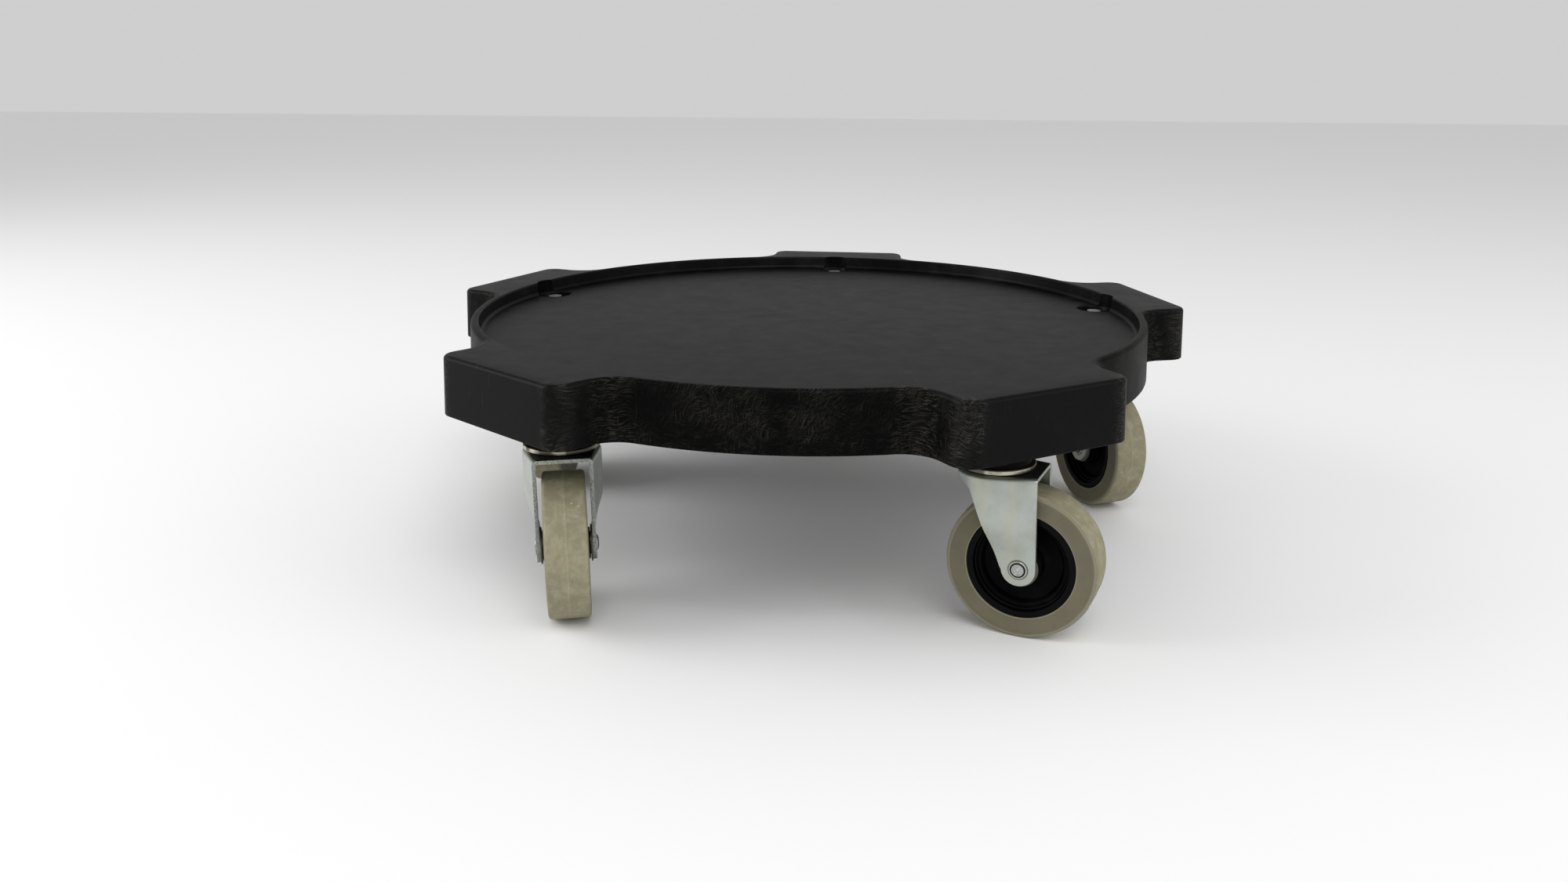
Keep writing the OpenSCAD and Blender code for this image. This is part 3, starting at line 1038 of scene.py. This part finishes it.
    def ribs(self) -> list[Piece]:
        """The ribs from the middle ring to the bosses, and from each boss to its pod's sides."""
        made = []
        height = self.seat - self.wall / 2 - self.rib_bottom
        middle = self.rib_bottom + height / 2
        bite = self.boss_radius - 1.5 * MM
        radial = self.swivel_circle - self.hub_ring - bite + self.rib / 2
        wall_middle = self.outline.arc - self.wall / 2
        cross = math.sqrt(wall_middle**2 - self.swivel_circle**2) - bite
        places = [((radial, self.rib), (-bite - radial / 2, 0.0))]
        places += [((self.rib, cross), (0.0, side * (bite + cross / 2))) for side in (-1, 1)]
        for matrix in self.pod_axes():
            for size, centre in places:
                clear_selection()
                bpy.ops.mesh.primitive_cube_add(size=1.0, location=(*centre, middle))
                rib = name_new("rib")
                rib.scale = (*size, height)
                bpy.ops.object.transform_apply(location=True, rotation=False, scale=True)
                apply_modifier(rib, "BEVEL", width=self.rib_round, segments=2)
                made.append(move_mesh(rib, matrix))
        ring = rounded(
            [
                (self.hub_ring - self.rib, self.rib_bottom, 0.0),
                (self.hub_ring, self.rib_bottom, self.rib_round),
                (self.hub_ring, self.rib_bottom + height, 0.0),
                (self.hub_ring - self.rib, self.rib_bottom + height, 0.0),
            ]
        )
        made.append(lathe("hub_ring", ring, 96, True))
        return made

    def pocket_cutter(self) -> Piece:
        """The shape that is cut out for a nut's pocket and its stem hole."""
        lip = self.pocket_lip
        profile = [
            (0.0, self.boss_bottom - self.clear),
            (self.stem_hole + lip, self.boss_bottom - self.clear),
            (self.stem_hole + lip, self.boss_bottom),
            (self.stem_hole, self.boss_bottom + lip),
            (self.stem_hole, self.pocket_floor),
            (self.pocket_radius, self.pocket_floor),
            (self.pocket_radius, self.seat - lip),
            (self.pocket_radius + 0.3 * lip, self.seat - 0.4 * lip),
            (self.pocket_radius + lip, self.seat),
            (self.pocket_radius + lip, self.top + self.clear),
            (0.0, self.top + self.clear),
        ]
        return lathe("pocket_cutter", profile, 48, False)

    def mark_skirt(self, piece: Piece) -> None:
        """Stores the way along the outline, the height and the bend of the nearest wall.

        Args:
            piece: The deck.
        """
        ring = self.outline.ring(0.0)
        count = len(ring)
        lengths = [0.0]
        for index in range(count):
            lengths.append(lengths[-1] + (ring[(index + 1) % count] - ring[index]).length)
        angles = [math.atan2(p.y, p.x) % math.tau for p in ring]
        order = sorted(range(count), key=lambda k: angles[k])
        sorted_angles = [angles[k] for k in order]
        bends = []
        reach = 6
        for index in range(count):
            here = ring[index]
            back = here - ring[index - reach]
            ahead = ring[(index + reach) % count] - here
            bends.append(min(1.0, abs(back.xy.angle_signed(ahead.xy)) / 0.5))
        skirt, zone = [], []
        for vertex in piece.data.vertices:
            here = vertex.co
            angle = math.atan2(here.y, here.x) % math.tau
            slot = bisect_left(sorted_angles, angle) % count
            nearest = min(
                (order[(slot + k) % count] for k in (-1, 0)),
                key=lambda k: (ring[k].xy - here.xy).length_squared,
            )
            height = here.z - self.bottom
            skirt.append(Vector((lengths[nearest], height, bends[nearest])))
            outside = (ring[nearest].xy.length - here.xy.length) < 5.5 * MM
            pod = (ring[nearest].xy.length - self.outline.arc) / (self.outline.face - self.outline.arc)
            zone.append(Vector((1.0 if outside else 0.0, min(max(pod, 0.0), 1.0), 0.0)))
        store_vectors(piece, "skirt", skirt)
        store_vectors(piece, "zone", zone)

    def build(self) -> Piece:
        """Builds the whole deck in the model's frame.

        Returns:
            The deck.
        """
        deck = self.shell()
        boss = self.boss()
        cutter = self.pocket_cutter()
        for index, matrix in enumerate(self.pod_axes()):
            merge_in(deck, move_mesh(copy_of(boss, f"boss_{index}"), matrix))
            cut_away(deck, move_mesh(copy_of(cutter, f"cutter_{index}"), matrix))
        bpy.data.objects.remove(boss, do_unlink=True)
        bpy.data.objects.remove(cutter, do_unlink=True)
        deck = join([deck, *self.ribs()], "deck_moulding")
        tidy(deck, 40.0)
        self.mark_skirt(deck)
        return move_mesh(deck, Matrix.Translation((0.0, 0.0, FLOOR_Z)))


# --- caster ------------------------------------------------------------------


@dataclass
class Fork:
    """The pressed fork, in the caster's frame: swivel axis on Z, floor at 0, trail on X."""

    crown_top: float = 85.6 * MM
    sheet: float = 2.0 * MM
    width: float = 30.2 * MM
    trail: float = 17.8 * MM
    axle_height: float = 38.1 * MM
    end_radius: float = 8.5 * MM
    reach: float = 28.3 * MM
    crown_radius: float = 20.3 * MM
    crown_back: float = 24.2 * MM
    swell_from: float = 5.0 * MM
    swell_to: float = 24.0 * MM
    wrap: float = 14.6 * MM
    bend: float = 1.5 * MM
    flare: float = 8.5 * MM
    flare_blend: float = 7.0 * MM
    edge_round: float = 0.28 * MM
    pin_hole: float = 5.05 * MM
    axle_hole: float = 3.4 * MM
    columns: int = 34

    @property
    def side(self) -> float:
        """Half the distance between the legs' middle surfaces."""
        return self.width / 2 - self.sheet / 2

    @property
    def rise(self) -> float:
        """The crown's middle surface above the axle."""
        return self.crown_top - self.axle_height - self.sheet / 2

    def path(self) -> list[tuple[float, float, float]]:
        """Across and up along the middle of the sheet, and how far the row has come.

        Returns:
            Points from the tip of one leg over the crown to the tip of the other: the share of
            the width there, height above the axle, and 0 on a leg, 1 on the crown.
        """
        top = self.rise
        bend_share = self.bend / self.side
        leg: list[tuple[float, float, float]] = []
        for step in range(13):
            turn = math.radians(-90 + 90 * step / 12)
            leg.append((1.0, self.end_radius * math.sin(turn), 0.0))
        for step in range(1, 25):
            leg.append((1.0, (top - self.bend) * step / 24, 0.0))
        for step in range(1, 7):
            turn = math.radians(90 * step / 6)
            share = 1.0 - bend_share * (1.0 - math.cos(turn))
            leg.append((share, top - self.bend + self.bend * math.sin(turn), step / 6))
        for step in range(1, 8):
            leg.append(((1.0 - bend_share) * (1 - step / 7), top, 1.0))
        return leg + [(-share, up, crown) for share, up, crown in reversed(leg[:-1])]

    def half_width(self, x: float, up: float) -> float:
        """Half the width between the middle surfaces, swollen round the swivel axis.

        Args:
            x: The place along the trail, from the swivel axis.
            up: The height above the axle.

        Returns:
            The distance from the fork's middle plane.
        """
        radius = self.crown_radius - self.sheet / 2
        back = self.crown_back
        if x > 0:
            share = min(x / back, 1.0)
            plan = radius + (self.side - radius) * share**1.12
        else:
            plan = math.sqrt(max(radius**2 - x**2, 0.0))
        lift = min(max((up - self.swell_from) / (self.swell_to - self.swell_from), 0.0), 1.0)
        lift = lift * lift * (3 - 2 * lift)
        return self.side + (plan - self.side) * lift

    def span(self, share: float, up: float, crown: float) -> tuple[float, float]:
        """The sheet's leading and trailing edges on a row, measured from the swivel axis.

        Args:
            share: The row's share of the width, from -1 to 1.
            up: The row's height above the axle.
            crown: 0 on a leg, 1 on the crown.

        Returns:
            The leading edge and the trailing edge.
        """
        if up < 0:
            half = math.sqrt(max(self.end_radius**2 - up**2, 0.0))
            return self.trail - half, self.trail + half
        top = self.crown_top - self.axle_height
        base = math.atan2(top, -self.reach)
        swing = math.acos(self.end_radius / math.hypot(top, self.reach))
        foot_x = self.end_radius * math.cos(base + swing)
        foot_y = self.end_radius * math.sin(base + swing)
        slant = self.trail + foot_x + (-self.reach - foot_x) * (up - foot_y) / (top - foot_y)
        radius = self.crown_radius - self.sheet / 2
        across = min(abs(share), 1.0)
        turn = across * math.asin(self.wrap_width(radius) / radius)
        lip = -radius * math.cos(turn)
        rise = min(max((up - (top - self.flare)) / self.flare_blend, crown, 0.0), 1.0)
        eased = rise * rise * (3 - 2 * rise)
        foot = self.trail + self.end_radius
        tail = foot + (self.crown_back - foot) * min(up / top, 1.0)
        return slant + (lip - slant) * eased, tail

    def wrap_width(self, radius: float) -> float:
        """How far from the middle plane the wrapped leading edge of a leg comes."""
        return math.sqrt(radius**2 - self.wrap**2)

    def build(self) -> Piece:
        """Builds the fork.

        Returns:
            The fork in the caster's frame.
        """
        rows = self.path()

        def spot(column: int, row: int) -> Vector:
            """The place of one point of the sheet's middle surface.

            Args:
                column: The point's number from the leading edge to the trailing edge.
                row: The point's number from one leg's tip to the other's.

            Returns:
                The place in the caster's frame.
            """
            share, up, crown = rows[row]
            lead, tail = self.span(share, up, crown)
            x = lead + (tail - lead) * column / self.columns
            y = share * self.half_width(x, up)
            return Vector((x, y, up + self.axle_height))

        fork = rolled_grid("fork", self.columns, len(rows) - 1, spot)
        tidy(fork, 40.0)
        apply_modifier(fork, "SOLIDIFY", thickness=self.sheet, offset=0.0, use_even_offset=True)
        self.bevel_edges(fork)
        holes = (
            (self.pin_hole, self.sheet * 6, (0.0, 0.0, self.crown_top), (0.0, 0.0, 0.0)),
            (
                self.axle_hole,
                self.width * 2,
                (self.trail, 0.0, self.axle_height),
                (math.pi / 2, 0.0, 0.0),
            ),
        )
        for radius, depth, centre, turn in holes:
            clear_selection()
            bpy.ops.mesh.primitive_cylinder_add(
                vertices=48, radius=radius, depth=depth, location=centre, rotation=turn
            )
            cut_away(fork, name_new("hole_cutter"))
        take_up(fork)
        bpy.ops.object.shade_smooth_by_angle(angle=math.radians(30))
        self.mark_edges(fork)
        return fork

    def bevel_edges(self, fork: Piece) -> None:
        """Rounds the sheared edges a little.

        Args:
            fork: The sheet with its thickness.
        """
        apply_modifier(
            fork,
            "BEVEL",
            width=self.edge_round,
            segments=2,
            limit_method="ANGLE",
            angle_limit=math.radians(50),
            use_clamp_overlap=True,
        )

    def mark_edges(self, fork: Piece) -> None:
        """Marks the sheared edges, and the top of the crown that gets painted shade, for the material.

        Args:
            fork: The finished fork.
        """
        marks = [Vector((0.0, 0.0, 0.0)) for _ in fork.data.vertices]
        totals = [0] * len(marks)
        for face in fork.data.polygons:
            normal = face.normal
            along = abs(normal.y) < 0.35 and abs(normal.z) < 0.9
            inside_crown = face.center.z > self.crown_top - 2.6 * MM and abs(normal.z) > 0.5
            sheared = along and not inside_crown
            # The crown's top, which the material paints dark as painted shade.
            crown = normal.z > 0.9 and face.center.z > self.crown_top - 0.2 * MM
            for index in face.vertices:
                totals[index] += 1
                marks[index].x += 1.0 if sheared else 0.0
                marks[index].y += 1.0 if crown else 0.0
        for mark, total in zip(marks, totals):
            mark.x = 1.0 if total and mark.x / total > 0.45 else 0.0
            mark.y = 1.0 if total and mark.y / total > 0.95 else 0.0
        store_vectors(fork, "zone", marks)


@dataclass
class Wheel:
    """The hub and tyre, turned about Z, the axle's own direction."""

    radius: float = 38.1 * MM
    width: float = 21.8 * MM
    seat: float = 27.3 * MM
    edge: float = 1.8 * MM
    boss_radius: float = 10.5 * MM
    boss_length: float = 24.0 * MM
    bore: float = 6.0 * MM
    steps: int = 144

    def tyre(self) -> Piece:
        """The tyre: dished sidewalls, rounded shoulders and a fine raised line round the tread."""
        half = self.width / 2
        tread = self.radius - 0.12 * MM
        sidewall = [
            (self.seat, half - 1.4 * MM, 0.0),
            (self.seat + 0.05 * MM, half - 0.25 * MM, 0.35 * MM),
            (self.seat + 0.9 * MM, half - 0.12 * MM, 0.3 * MM),
            (self.seat + 2.0 * MM, half - 0.3 * MM, 0.8 * MM),
            (self.radius - 3.2 * MM, half - 0.02 * MM, 1.0 * MM),
            (tread, half - 0.25 * MM, self.edge),
            (tread + 0.03 * MM, 3.0 * MM, 0.0),
            (tread + 0.03 * MM, 0.35 * MM, 0.0),
            (self.radius, 0.0, 0.0),
        ]
        upper = rounded(sidewall, 6)
        lower = [(radius, -height) for radius, height in reversed(upper[:-1])]
        return lathe("tyre", upper + lower, self.steps, True)

    def hub(self) -> Piece:
        """The hub: a flat rim, stepped rings, a recessed web and a boss."""
        rim = self.width / 2 - 0.45 * MM
        web = 3.0 * MM
        r = self.seat
        half_profile = rounded(
            [
                (self.bore, 0.0, 0.0),
                (self.bore, self.boss_length / 2, 0.3 * MM),
                (self.boss_radius - 2.4 * MM, self.boss_length / 2, 0.3 * MM),
                (self.boss_radius - 2.2 * MM, self.boss_length / 2 - 1.6 * MM, 0.3 * MM),
                (self.boss_radius - 0.3 * MM, self.boss_length / 2 - 1.8 * MM, 0.5 * MM),
                (self.boss_radius, web + 0.6 * MM, 0.8 * MM),
                (self.boss_radius + 3.0 * MM, web, 1.2 * MM),
                (r - 7.6 * MM, web + 0.3 * MM, 1.2 * MM),
                (r - 6.4 * MM, rim - 4.2 * MM, 0.5 * MM),
                (r - 4.9 * MM, rim - 3.9 * MM, 0.3 * MM),
                (r - 4.5 * MM, rim - 2.6 * MM, 0.3 * MM),
                (r - 3.7 * MM, rim - 2.4 * MM, 0.3 * MM),
                (r - 3.2 * MM, rim, 0.3 * MM),
                (r - 0.35 * MM, rim, 0.3 * MM),
                (r, rim - 0.5 * MM, 0.0),
                (r, 0.0, 0.0),
            ],
            3,
        )
        lower = [(x, -y) for x, y in reversed(half_profile[1:-1])]
        return lathe("hub", half_profile + lower, self.steps, True)


@dataclass
class AxleParts:
    """The rivet, its washers and the other small turned pieces of a caster."""

    fork_width: float = 30.2 * MM
    leg_gap: float = 26.2 * MM
    shank: float = 3.3 * MM
    head: float = 4.65 * MM
    sleeve: float = 5.95 * MM
    washer: float = 0.8 * MM
    washer_radius: float = 9.5 * MM
    steps: int = 56

    def rivet(self) -> Piece:
        """The hollow rivet along Z: domed head below, rolled flare above."""
        face = self.fork_width / 2
        profile = rounded(
            [
                (0.0, -face - 1.5 * MM, 0.0),
                (2.0 * MM, -face - 1.4 * MM, 1.6 * MM),
                (3.9 * MM, -face - 0.75 * MM, 1.2 * MM),
                (self.head, -face - 0.05 * MM, 0.3 * MM),
                (self.head - 0.2 * MM, -face, 0.0),
                (self.shank, -face, 0.0),
                (self.shank, face, 0.0),
                (self.head - 0.5 * MM, face, 0.0),
                (self.head - 0.45 * MM, face + 0.14 * MM, 0.0),
                (self.head, face + 0.3 * MM, 0.12 * MM),
                (self.head - 0.3 * MM, face + 0.72 * MM, 0.25 * MM),
                (3.85 * MM, face + 0.6 * MM, 0.12 * MM),
                (3.75 * MM, face + 0.05 * MM, 0.1 * MM),
                (3.3 * MM, face + 0.05 * MM, 0.1 * MM),
                (3.15 * MM, face + 0.85 * MM, 0.2 * MM),
                (2.6 * MM, face + 0.95 * MM, 0.2 * MM),
                (2.3 * MM, face + 0.1 * MM, 0.15 * MM),
                (1.5 * MM, face - 0.1 * MM, 0.3 * MM),
                (1.1 * MM, face + 0.25 * MM, 0.2 * MM),
                (0.0, face + 0.1 * MM, 0.0),
            ],
            4,
        )
        return lathe("rivet", profile, self.steps, False)

    def washers(self) -> Piece:
        """The two washers beside the hub."""
        outer = self.leg_gap / 2
        made = []
        for side in (-1, 1):
            near, far = side * (outer - self.washer), side * outer
            profile = rounded(
                [
                    (self.sleeve, near, 0.0),
                    (self.washer_radius, near, 0.2 * MM),
                    (self.washer_radius, far, 0.2 * MM),
                    (self.sleeve, far, 0.0),
                ],
                3,
            )
            made.append(lathe(f"washer_{side}", profile, self.steps, True))
        return join(made, "axle_washers")

    def sleeve_tube(self) -> Piece:
        """The bearing sleeve."""
        half = self.leg_gap / 2
        chamfer = 0.25 * MM
        profile = [
            (self.shank, -half),
            (self.sleeve - chamfer, -half),
            (self.sleeve, -half + chamfer),
            (self.sleeve, half - chamfer),
            (self.sleeve - chamfer, half),
            (self.shank, half),
        ]
        return lathe("sleeve", profile, self.steps, True)


@dataclass
class HeadParts:
    """The swivel pin and the upper race, about the swivel axis with the floor at 0."""

    race_radius: float = 19.6 * MM
    race_rim: float = 2.3 * MM
    race_shoulder: float = 13.0 * MM
    race_cavity: float = 14.6 * MM
    race_top: float = 93.0 * MM
    race_bottom: float = 86.1 * MM
    roof: float = 90.65 * MM
    stem_radius: float = 5.0 * MM
    stem_top: float = 123.5 * MM
    collar_top: float = 96.0 * MM
    head_bottom: float = 80.15 * MM
    head_top: float = 82.55 * MM
    pitch: float = 1.5 * MM
    thread_depth: float = 0.7 * MM
    nut_flats: float = 14.3 * MM
    nut_height: float = 8.0 * MM
    washer_radius: float = 9.5 * MM
    washer_height: float = 1.6 * MM
    steps: int = 64

    def stem(self) -> Piece:
        """The riveted head, the pin, the collar and the threaded stem."""
        corners = [
            (0.0, self.head_bottom, 0.0),
            (5.5 * MM, self.head_bottom, 1.2 * MM),
            (8.0 * MM, self.head_bottom + 1.2 * MM, 0.5 * MM),
            (8.0 * MM, self.head_top, 0.0),
            (self.stem_radius, self.head_top, 0.0),
            (self.stem_radius, self.race_top, 0.0),
            (9.0 * MM, self.race_top, 0.4 * MM),
            (9.0 * MM, self.collar_top, 0.4 * MM),
            (self.stem_radius, self.collar_top, 0.0),
        ]
        profile = rounded(corners, 4)
        height = self.collar_top + 1 * MM
        while height + self.pitch < self.stem_top - 0.5 * MM:
            profile.append((self.stem_radius, height))
            profile.append((self.stem_radius - self.thread_depth, height + self.pitch / 2))
            height += self.pitch
        profile.append((self.stem_radius - self.thread_depth, self.stem_top))
        profile.append((0.0, self.stem_top))
        return lathe("stem", profile, self.steps, False)

    def race(self) -> Piece:
        """The upper race: a pressed cup with an upright rim and a sloping roof, open downwards."""
        profile = rounded(
            [
                (self.stem_radius, self.roof, 0.0),
                (self.race_cavity, self.roof, 1.2 * MM),
                (self.race_cavity, self.race_bottom, 0.4 * MM),
                (self.race_radius, self.race_bottom, 0.5 * MM),
                (self.race_radius, self.race_bottom + self.race_rim, 0.7 * MM),
                (self.race_radius - 2.2 * MM, self.race_bottom + self.race_rim + 0.5 * MM, 0.8 * MM),
                (self.race_shoulder, self.race_top, 0.8 * MM),
                (self.stem_radius, self.race_top, 0.0),
            ],
            5,
        )
        return lathe("top_race", profile, 96, True)

    def nut(self, bottom: float) -> Piece:
        """A hexagonal nut with bevelled corners and a cut bore.

        Args:
            bottom: The height of its lower face.

        Returns:
            The nut about the swivel axis.
        """
        clear_selection()
        height = self.nut_height
        bpy.ops.mesh.primitive_cylinder_add(
            vertices=6,
            radius=self.nut_flats / 2 / math.cos(math.pi / 6),
            depth=height,
            location=(0.0, 0.0, bottom + height / 2),
        )
        nut = name_new("nut")
        bpy.ops.object.transform_apply(location=True, rotation=True, scale=True)
        apply_modifier(nut, "BEVEL", width=0.7 * MM, segments=3)
        clear_selection()
        bpy.ops.mesh.primitive_cylinder_add(
            vertices=48, radius=self.stem_radius, depth=height * 3, location=(0.0, 0.0, bottom)
        )
        cut_away(nut, name_new("nut_bore"))
        return tidy(nut, 25.0)

    def flat_washer(self, bottom: float) -> Piece:
        """A washer under a nut."""
        inner, outer = self.stem_radius + 0.3 * MM, self.washer_radius
        top = bottom + self.washer_height
        corners = [
            (inner, bottom, 0.0),
            (outer, bottom, 0.2 * MM),
            (outer, top, 0.4 * MM),
            (inner, top, 0.0),
        ]
        profile = rounded(corners, 4)
        return lathe("washer", profile, self.steps, True)


@dataclass
class Station:
    """One caster's place, read from the frame's joints."""

    name: str
    swivel: Matrix
    axle: Matrix

    @classmethod
    def read(cls, name: str) -> "Station":
        """Reads a caster's place.

        Args:
            name: The station's name.

        Returns:
            The station, with the swivel frame's X along the trail.
        """
        joints = {joint["name"]: joint for joint in frame["record"]["behaviour"]["joints"]}
        pin = Vector(joints[f"swivel_{name}"]["pos_m"])
        axle = Vector(joints[f"wheel_spin_{name}"]["pos_m"])
        trail = axle.xy - pin.xy
        heading = math.atan2(trail.y, trail.x)
        foot = Matrix.Translation((pin.x, pin.y, FLOOR_Z)) @ Matrix.Rotation(heading, 4, "Z")
        lift = Matrix.Translation((trail.length, 0.0, axle.z - FLOOR_Z))
        return cls(name, foot, foot @ lift @ Matrix.Rotation(math.pi / 2, 4, "X"))


class Dolly:
    """The whole object: builds the pieces, places them and dresses them."""

    def __init__(self) -> None:
        """Reads the stations and makes the finishes."""
        self.stations = [Station.read(name) for name in STATIONS]
        self.finishes = make_finishes()

    def settle(
        self, piece: Piece, body: str, finish: Finish, nodes: Sequence[str]
    ) -> None:
        """Dresses a placed piece and ties it to the frame.

        Args:
            piece: The piece, in the model's frame.
            body: The body that it moves with.
            finish: Its finish.
            nodes: The CAD nodes that it stands for.
        """
        dress(piece, self.finishes[finish])
        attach(piece, body)
        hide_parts(*nodes)
        log.info("%s: %d faces on %s", piece.name, len(piece.data.polygons), body)

    def add_deck(self) -> None:
        """Builds the deck."""
        self.settle(Deck().build(), "deck", Finish.DECK, ["deck"])

    def add_copies(
        self,
        model: Piece,
        node: str,
        finish: Finish,
        body: str,
        about_axle: bool,
    ) -> None:
        """Copies one modelled piece to every caster.

        Args:
            model: The piece in the caster's or the axle's frame.
            node: The CAD nodes' common name.
            finish: Its finish.
            body: The body's common name, or the deck's.
            about_axle: True if the model was turned about the axle.
        """
        store_vectors(model, "form", self.form_of(model, about_axle))
        for station in self.stations:
            piece = copy_of(model, f"{node}_{station.name}_finished")
            move_mesh(piece, station.axle if about_axle else station.swivel)
            rides_on = body if body == "deck" else f"{body}_{station.name}"
            self.settle(piece, rides_on, finish, [f"{node}_{station.name}"])
        bpy.data.objects.remove(model, do_unlink=True)

    @staticmethod
    def form_of(model: Piece, about_axle: bool) -> list[Vector]:
        """A piece's own coordinates, with Y along the axle where it was turned about it."""
        if about_axle:
            return [Vector((v.co.x, v.co.z, v.co.y)) for v in model.data.vertices]
        return [v.co.copy() for v in model.data.vertices]

    def add_casters(self) -> None:
        """Builds the forks, wheels, pins and races."""
        wheel, axle, head = Wheel(), AxleParts(), HeadParts()
        self.add_copies(Fork().build(), "fork", Finish.FORK, "fork", False)
        self.add_copies(wheel.tyre(), "tyre", Finish.TYRE, "wheel", True)
        self.add_copies(wheel.hub(), "hub", Finish.HUB, "wheel", True)
        self.add_copies(axle.rivet(), "axle", Finish.PIN, "fork", True)
        self.add_copies(axle.washers(), "axle_washers", Finish.WASHER, "fork", True)
        self.add_copies(axle.sleeve_tube(), "sleeve", Finish.SLEEVE, "fork", True)
        self.add_copies(head.stem(), "stem", Finish.PIN, "deck", False)
        self.add_copies(head.race(), "top_race", Finish.RACE, "deck", False)

    def add_fasteners(self) -> None:
        """Builds the five nuts and the five washers in the deck's pockets."""
        head = HeadParts()
        floor = Deck().pocket_floor
        models = {
            "stem_washers": head.flat_washer(floor),
            "stem_nuts": head.nut(floor + head.washer_height),
        }
        for node, model in models.items():
            copies = [
                move_mesh(copy_of(model, f"{node}_{station.name}"), station.swivel)
                for station in self.stations
            ]
            bpy.data.objects.remove(model, do_unlink=True)
            self.settle(join(copies, f"{node}_finished"), "deck", Finish.PIN, [node])

    def dress_frame(self) -> None:
        """Gives the CAD nodes that stay their finishes."""
        kept = {"race_balls": Finish.BALL, "thrust_washer": Finish.PIN}
        for node, finish in kept.items():
            for name in STATIONS:
                dress(frame["nodes"][f"{node}_{name}"], self.finishes[finish])

    def build(self) -> None:
        """Builds everything in order."""
        self.add_deck()
        self.add_casters()
        self.add_fasteners()
        self.dress_frame()


# --- studio ------------------------------------------------------------------


@dataclass(frozen=True)
class Lamp:
    """One soft square light."""

    name: str
    place: tuple[float, float, float]
    power: float
    size: float = 1.3


@dataclass
class Studio:
    """Camera, floor and lights."""

    camera_place: tuple[float, float, float] = (0.0781, -0.7238, 0.1483)
    pitch: float = 17.35
    yaw: float = -1.12 - 6.16
    roll: float = 0.19
    lens: float = 27.57
    sensor: float = 36.0
    floor_side: float = 12.0
    floor_gap: float = 0.02 * MM
    surroundings: float = 0.62
    aim_at: tuple[float, float, float] = (0.0, 0.0, -0.05)
    lamps: tuple[Lamp, ...] = (
        Lamp("key", (0.5, -1.5, 1.9), 20.0),
        Lamp("left", (-1.9, -0.35, 0.8), 19.0),
        Lamp("right", (1.9, -0.5, 0.9), 7.0),
    )

    def add_camera(self) -> None:
        """Adds the camera at the viewing angle."""
        data = bpy.data.cameras.new("camera")
        data.lens = self.lens
        data.sensor_width = self.sensor
        data.clip_start = 0.01
        camera = bpy.data.objects.new("camera", data)
        camera.location = self.camera_place
        turn = Matrix.Rotation(math.radians(-self.yaw), 4, "Z")
        tilt = Matrix.Rotation(math.radians(90 - self.pitch), 4, "X")
        lean = Matrix.Rotation(math.radians(self.roll), 4, "Z")
        camera.matrix_world = Matrix.Translation(self.camera_place) @ turn @ tilt @ lean
        bpy.context.scene.collection.objects.link(camera)
        bpy.context.scene.camera = camera

    def add_floor(self) -> None:
        """Adds the pale floor."""
        clear_selection()
        level = FLOOR_Z - self.floor_gap
        bpy.ops.mesh.primitive_plane_add(size=self.floor_side, location=(0.0, 0.0, level))
        floor = name_new("floor")
        g = Graph("pale_floor")
        g.finish(Base_Color=(0.9, 0.9, 0.9, 1.0), Roughness=0.8, Specular_IOR_Level=0.2)
        dress(floor, g.material)

    def add_light(self, lamp: Lamp) -> None:
        """Adds one soft light that looks at the dolly.

        Args:
            lamp: The light's name, place, power and size.
        """
        data = bpy.data.lights.new(lamp.name, "AREA")
        data.size = lamp.size
        data.energy = lamp.power
        light = bpy.data.objects.new(lamp.name, data)
        light.location = lamp.place
        aim = Vector(self.aim_at) - Vector(lamp.place)
        light.rotation_euler = aim.to_track_quat("-Z", "Y").to_euler()
        bpy.context.scene.collection.objects.link(light)

    def add_world(self) -> None:
        """Adds the pale surroundings."""
        world = bpy.data.worlds.new("surroundings")
        world.use_nodes = True
        background = world.node_tree.nodes["Background"]
        background.inputs["Color"].default_value = (1.0, 1.0, 1.0, 1.0)
        background.inputs["Strength"].default_value = self.surroundings
        bpy.context.scene.world = world

    def build(self) -> None:
        """Sets the whole studio."""
        self.add_camera()
        self.add_floor()
        self.add_world()
        for lamp in self.lamps:
            self.add_light(lamp)
        bpy.context.scene.view_settings.view_transform = "Standard"


def main() -> None:
    """Builds the dolly and the studio."""
    logging.basicConfig(level=logging.INFO, format="%(name)s: %(message)s")
    Studio().build()
    Dolly().build()
    clear_selection()


if __name__ == "__main__":
    main()
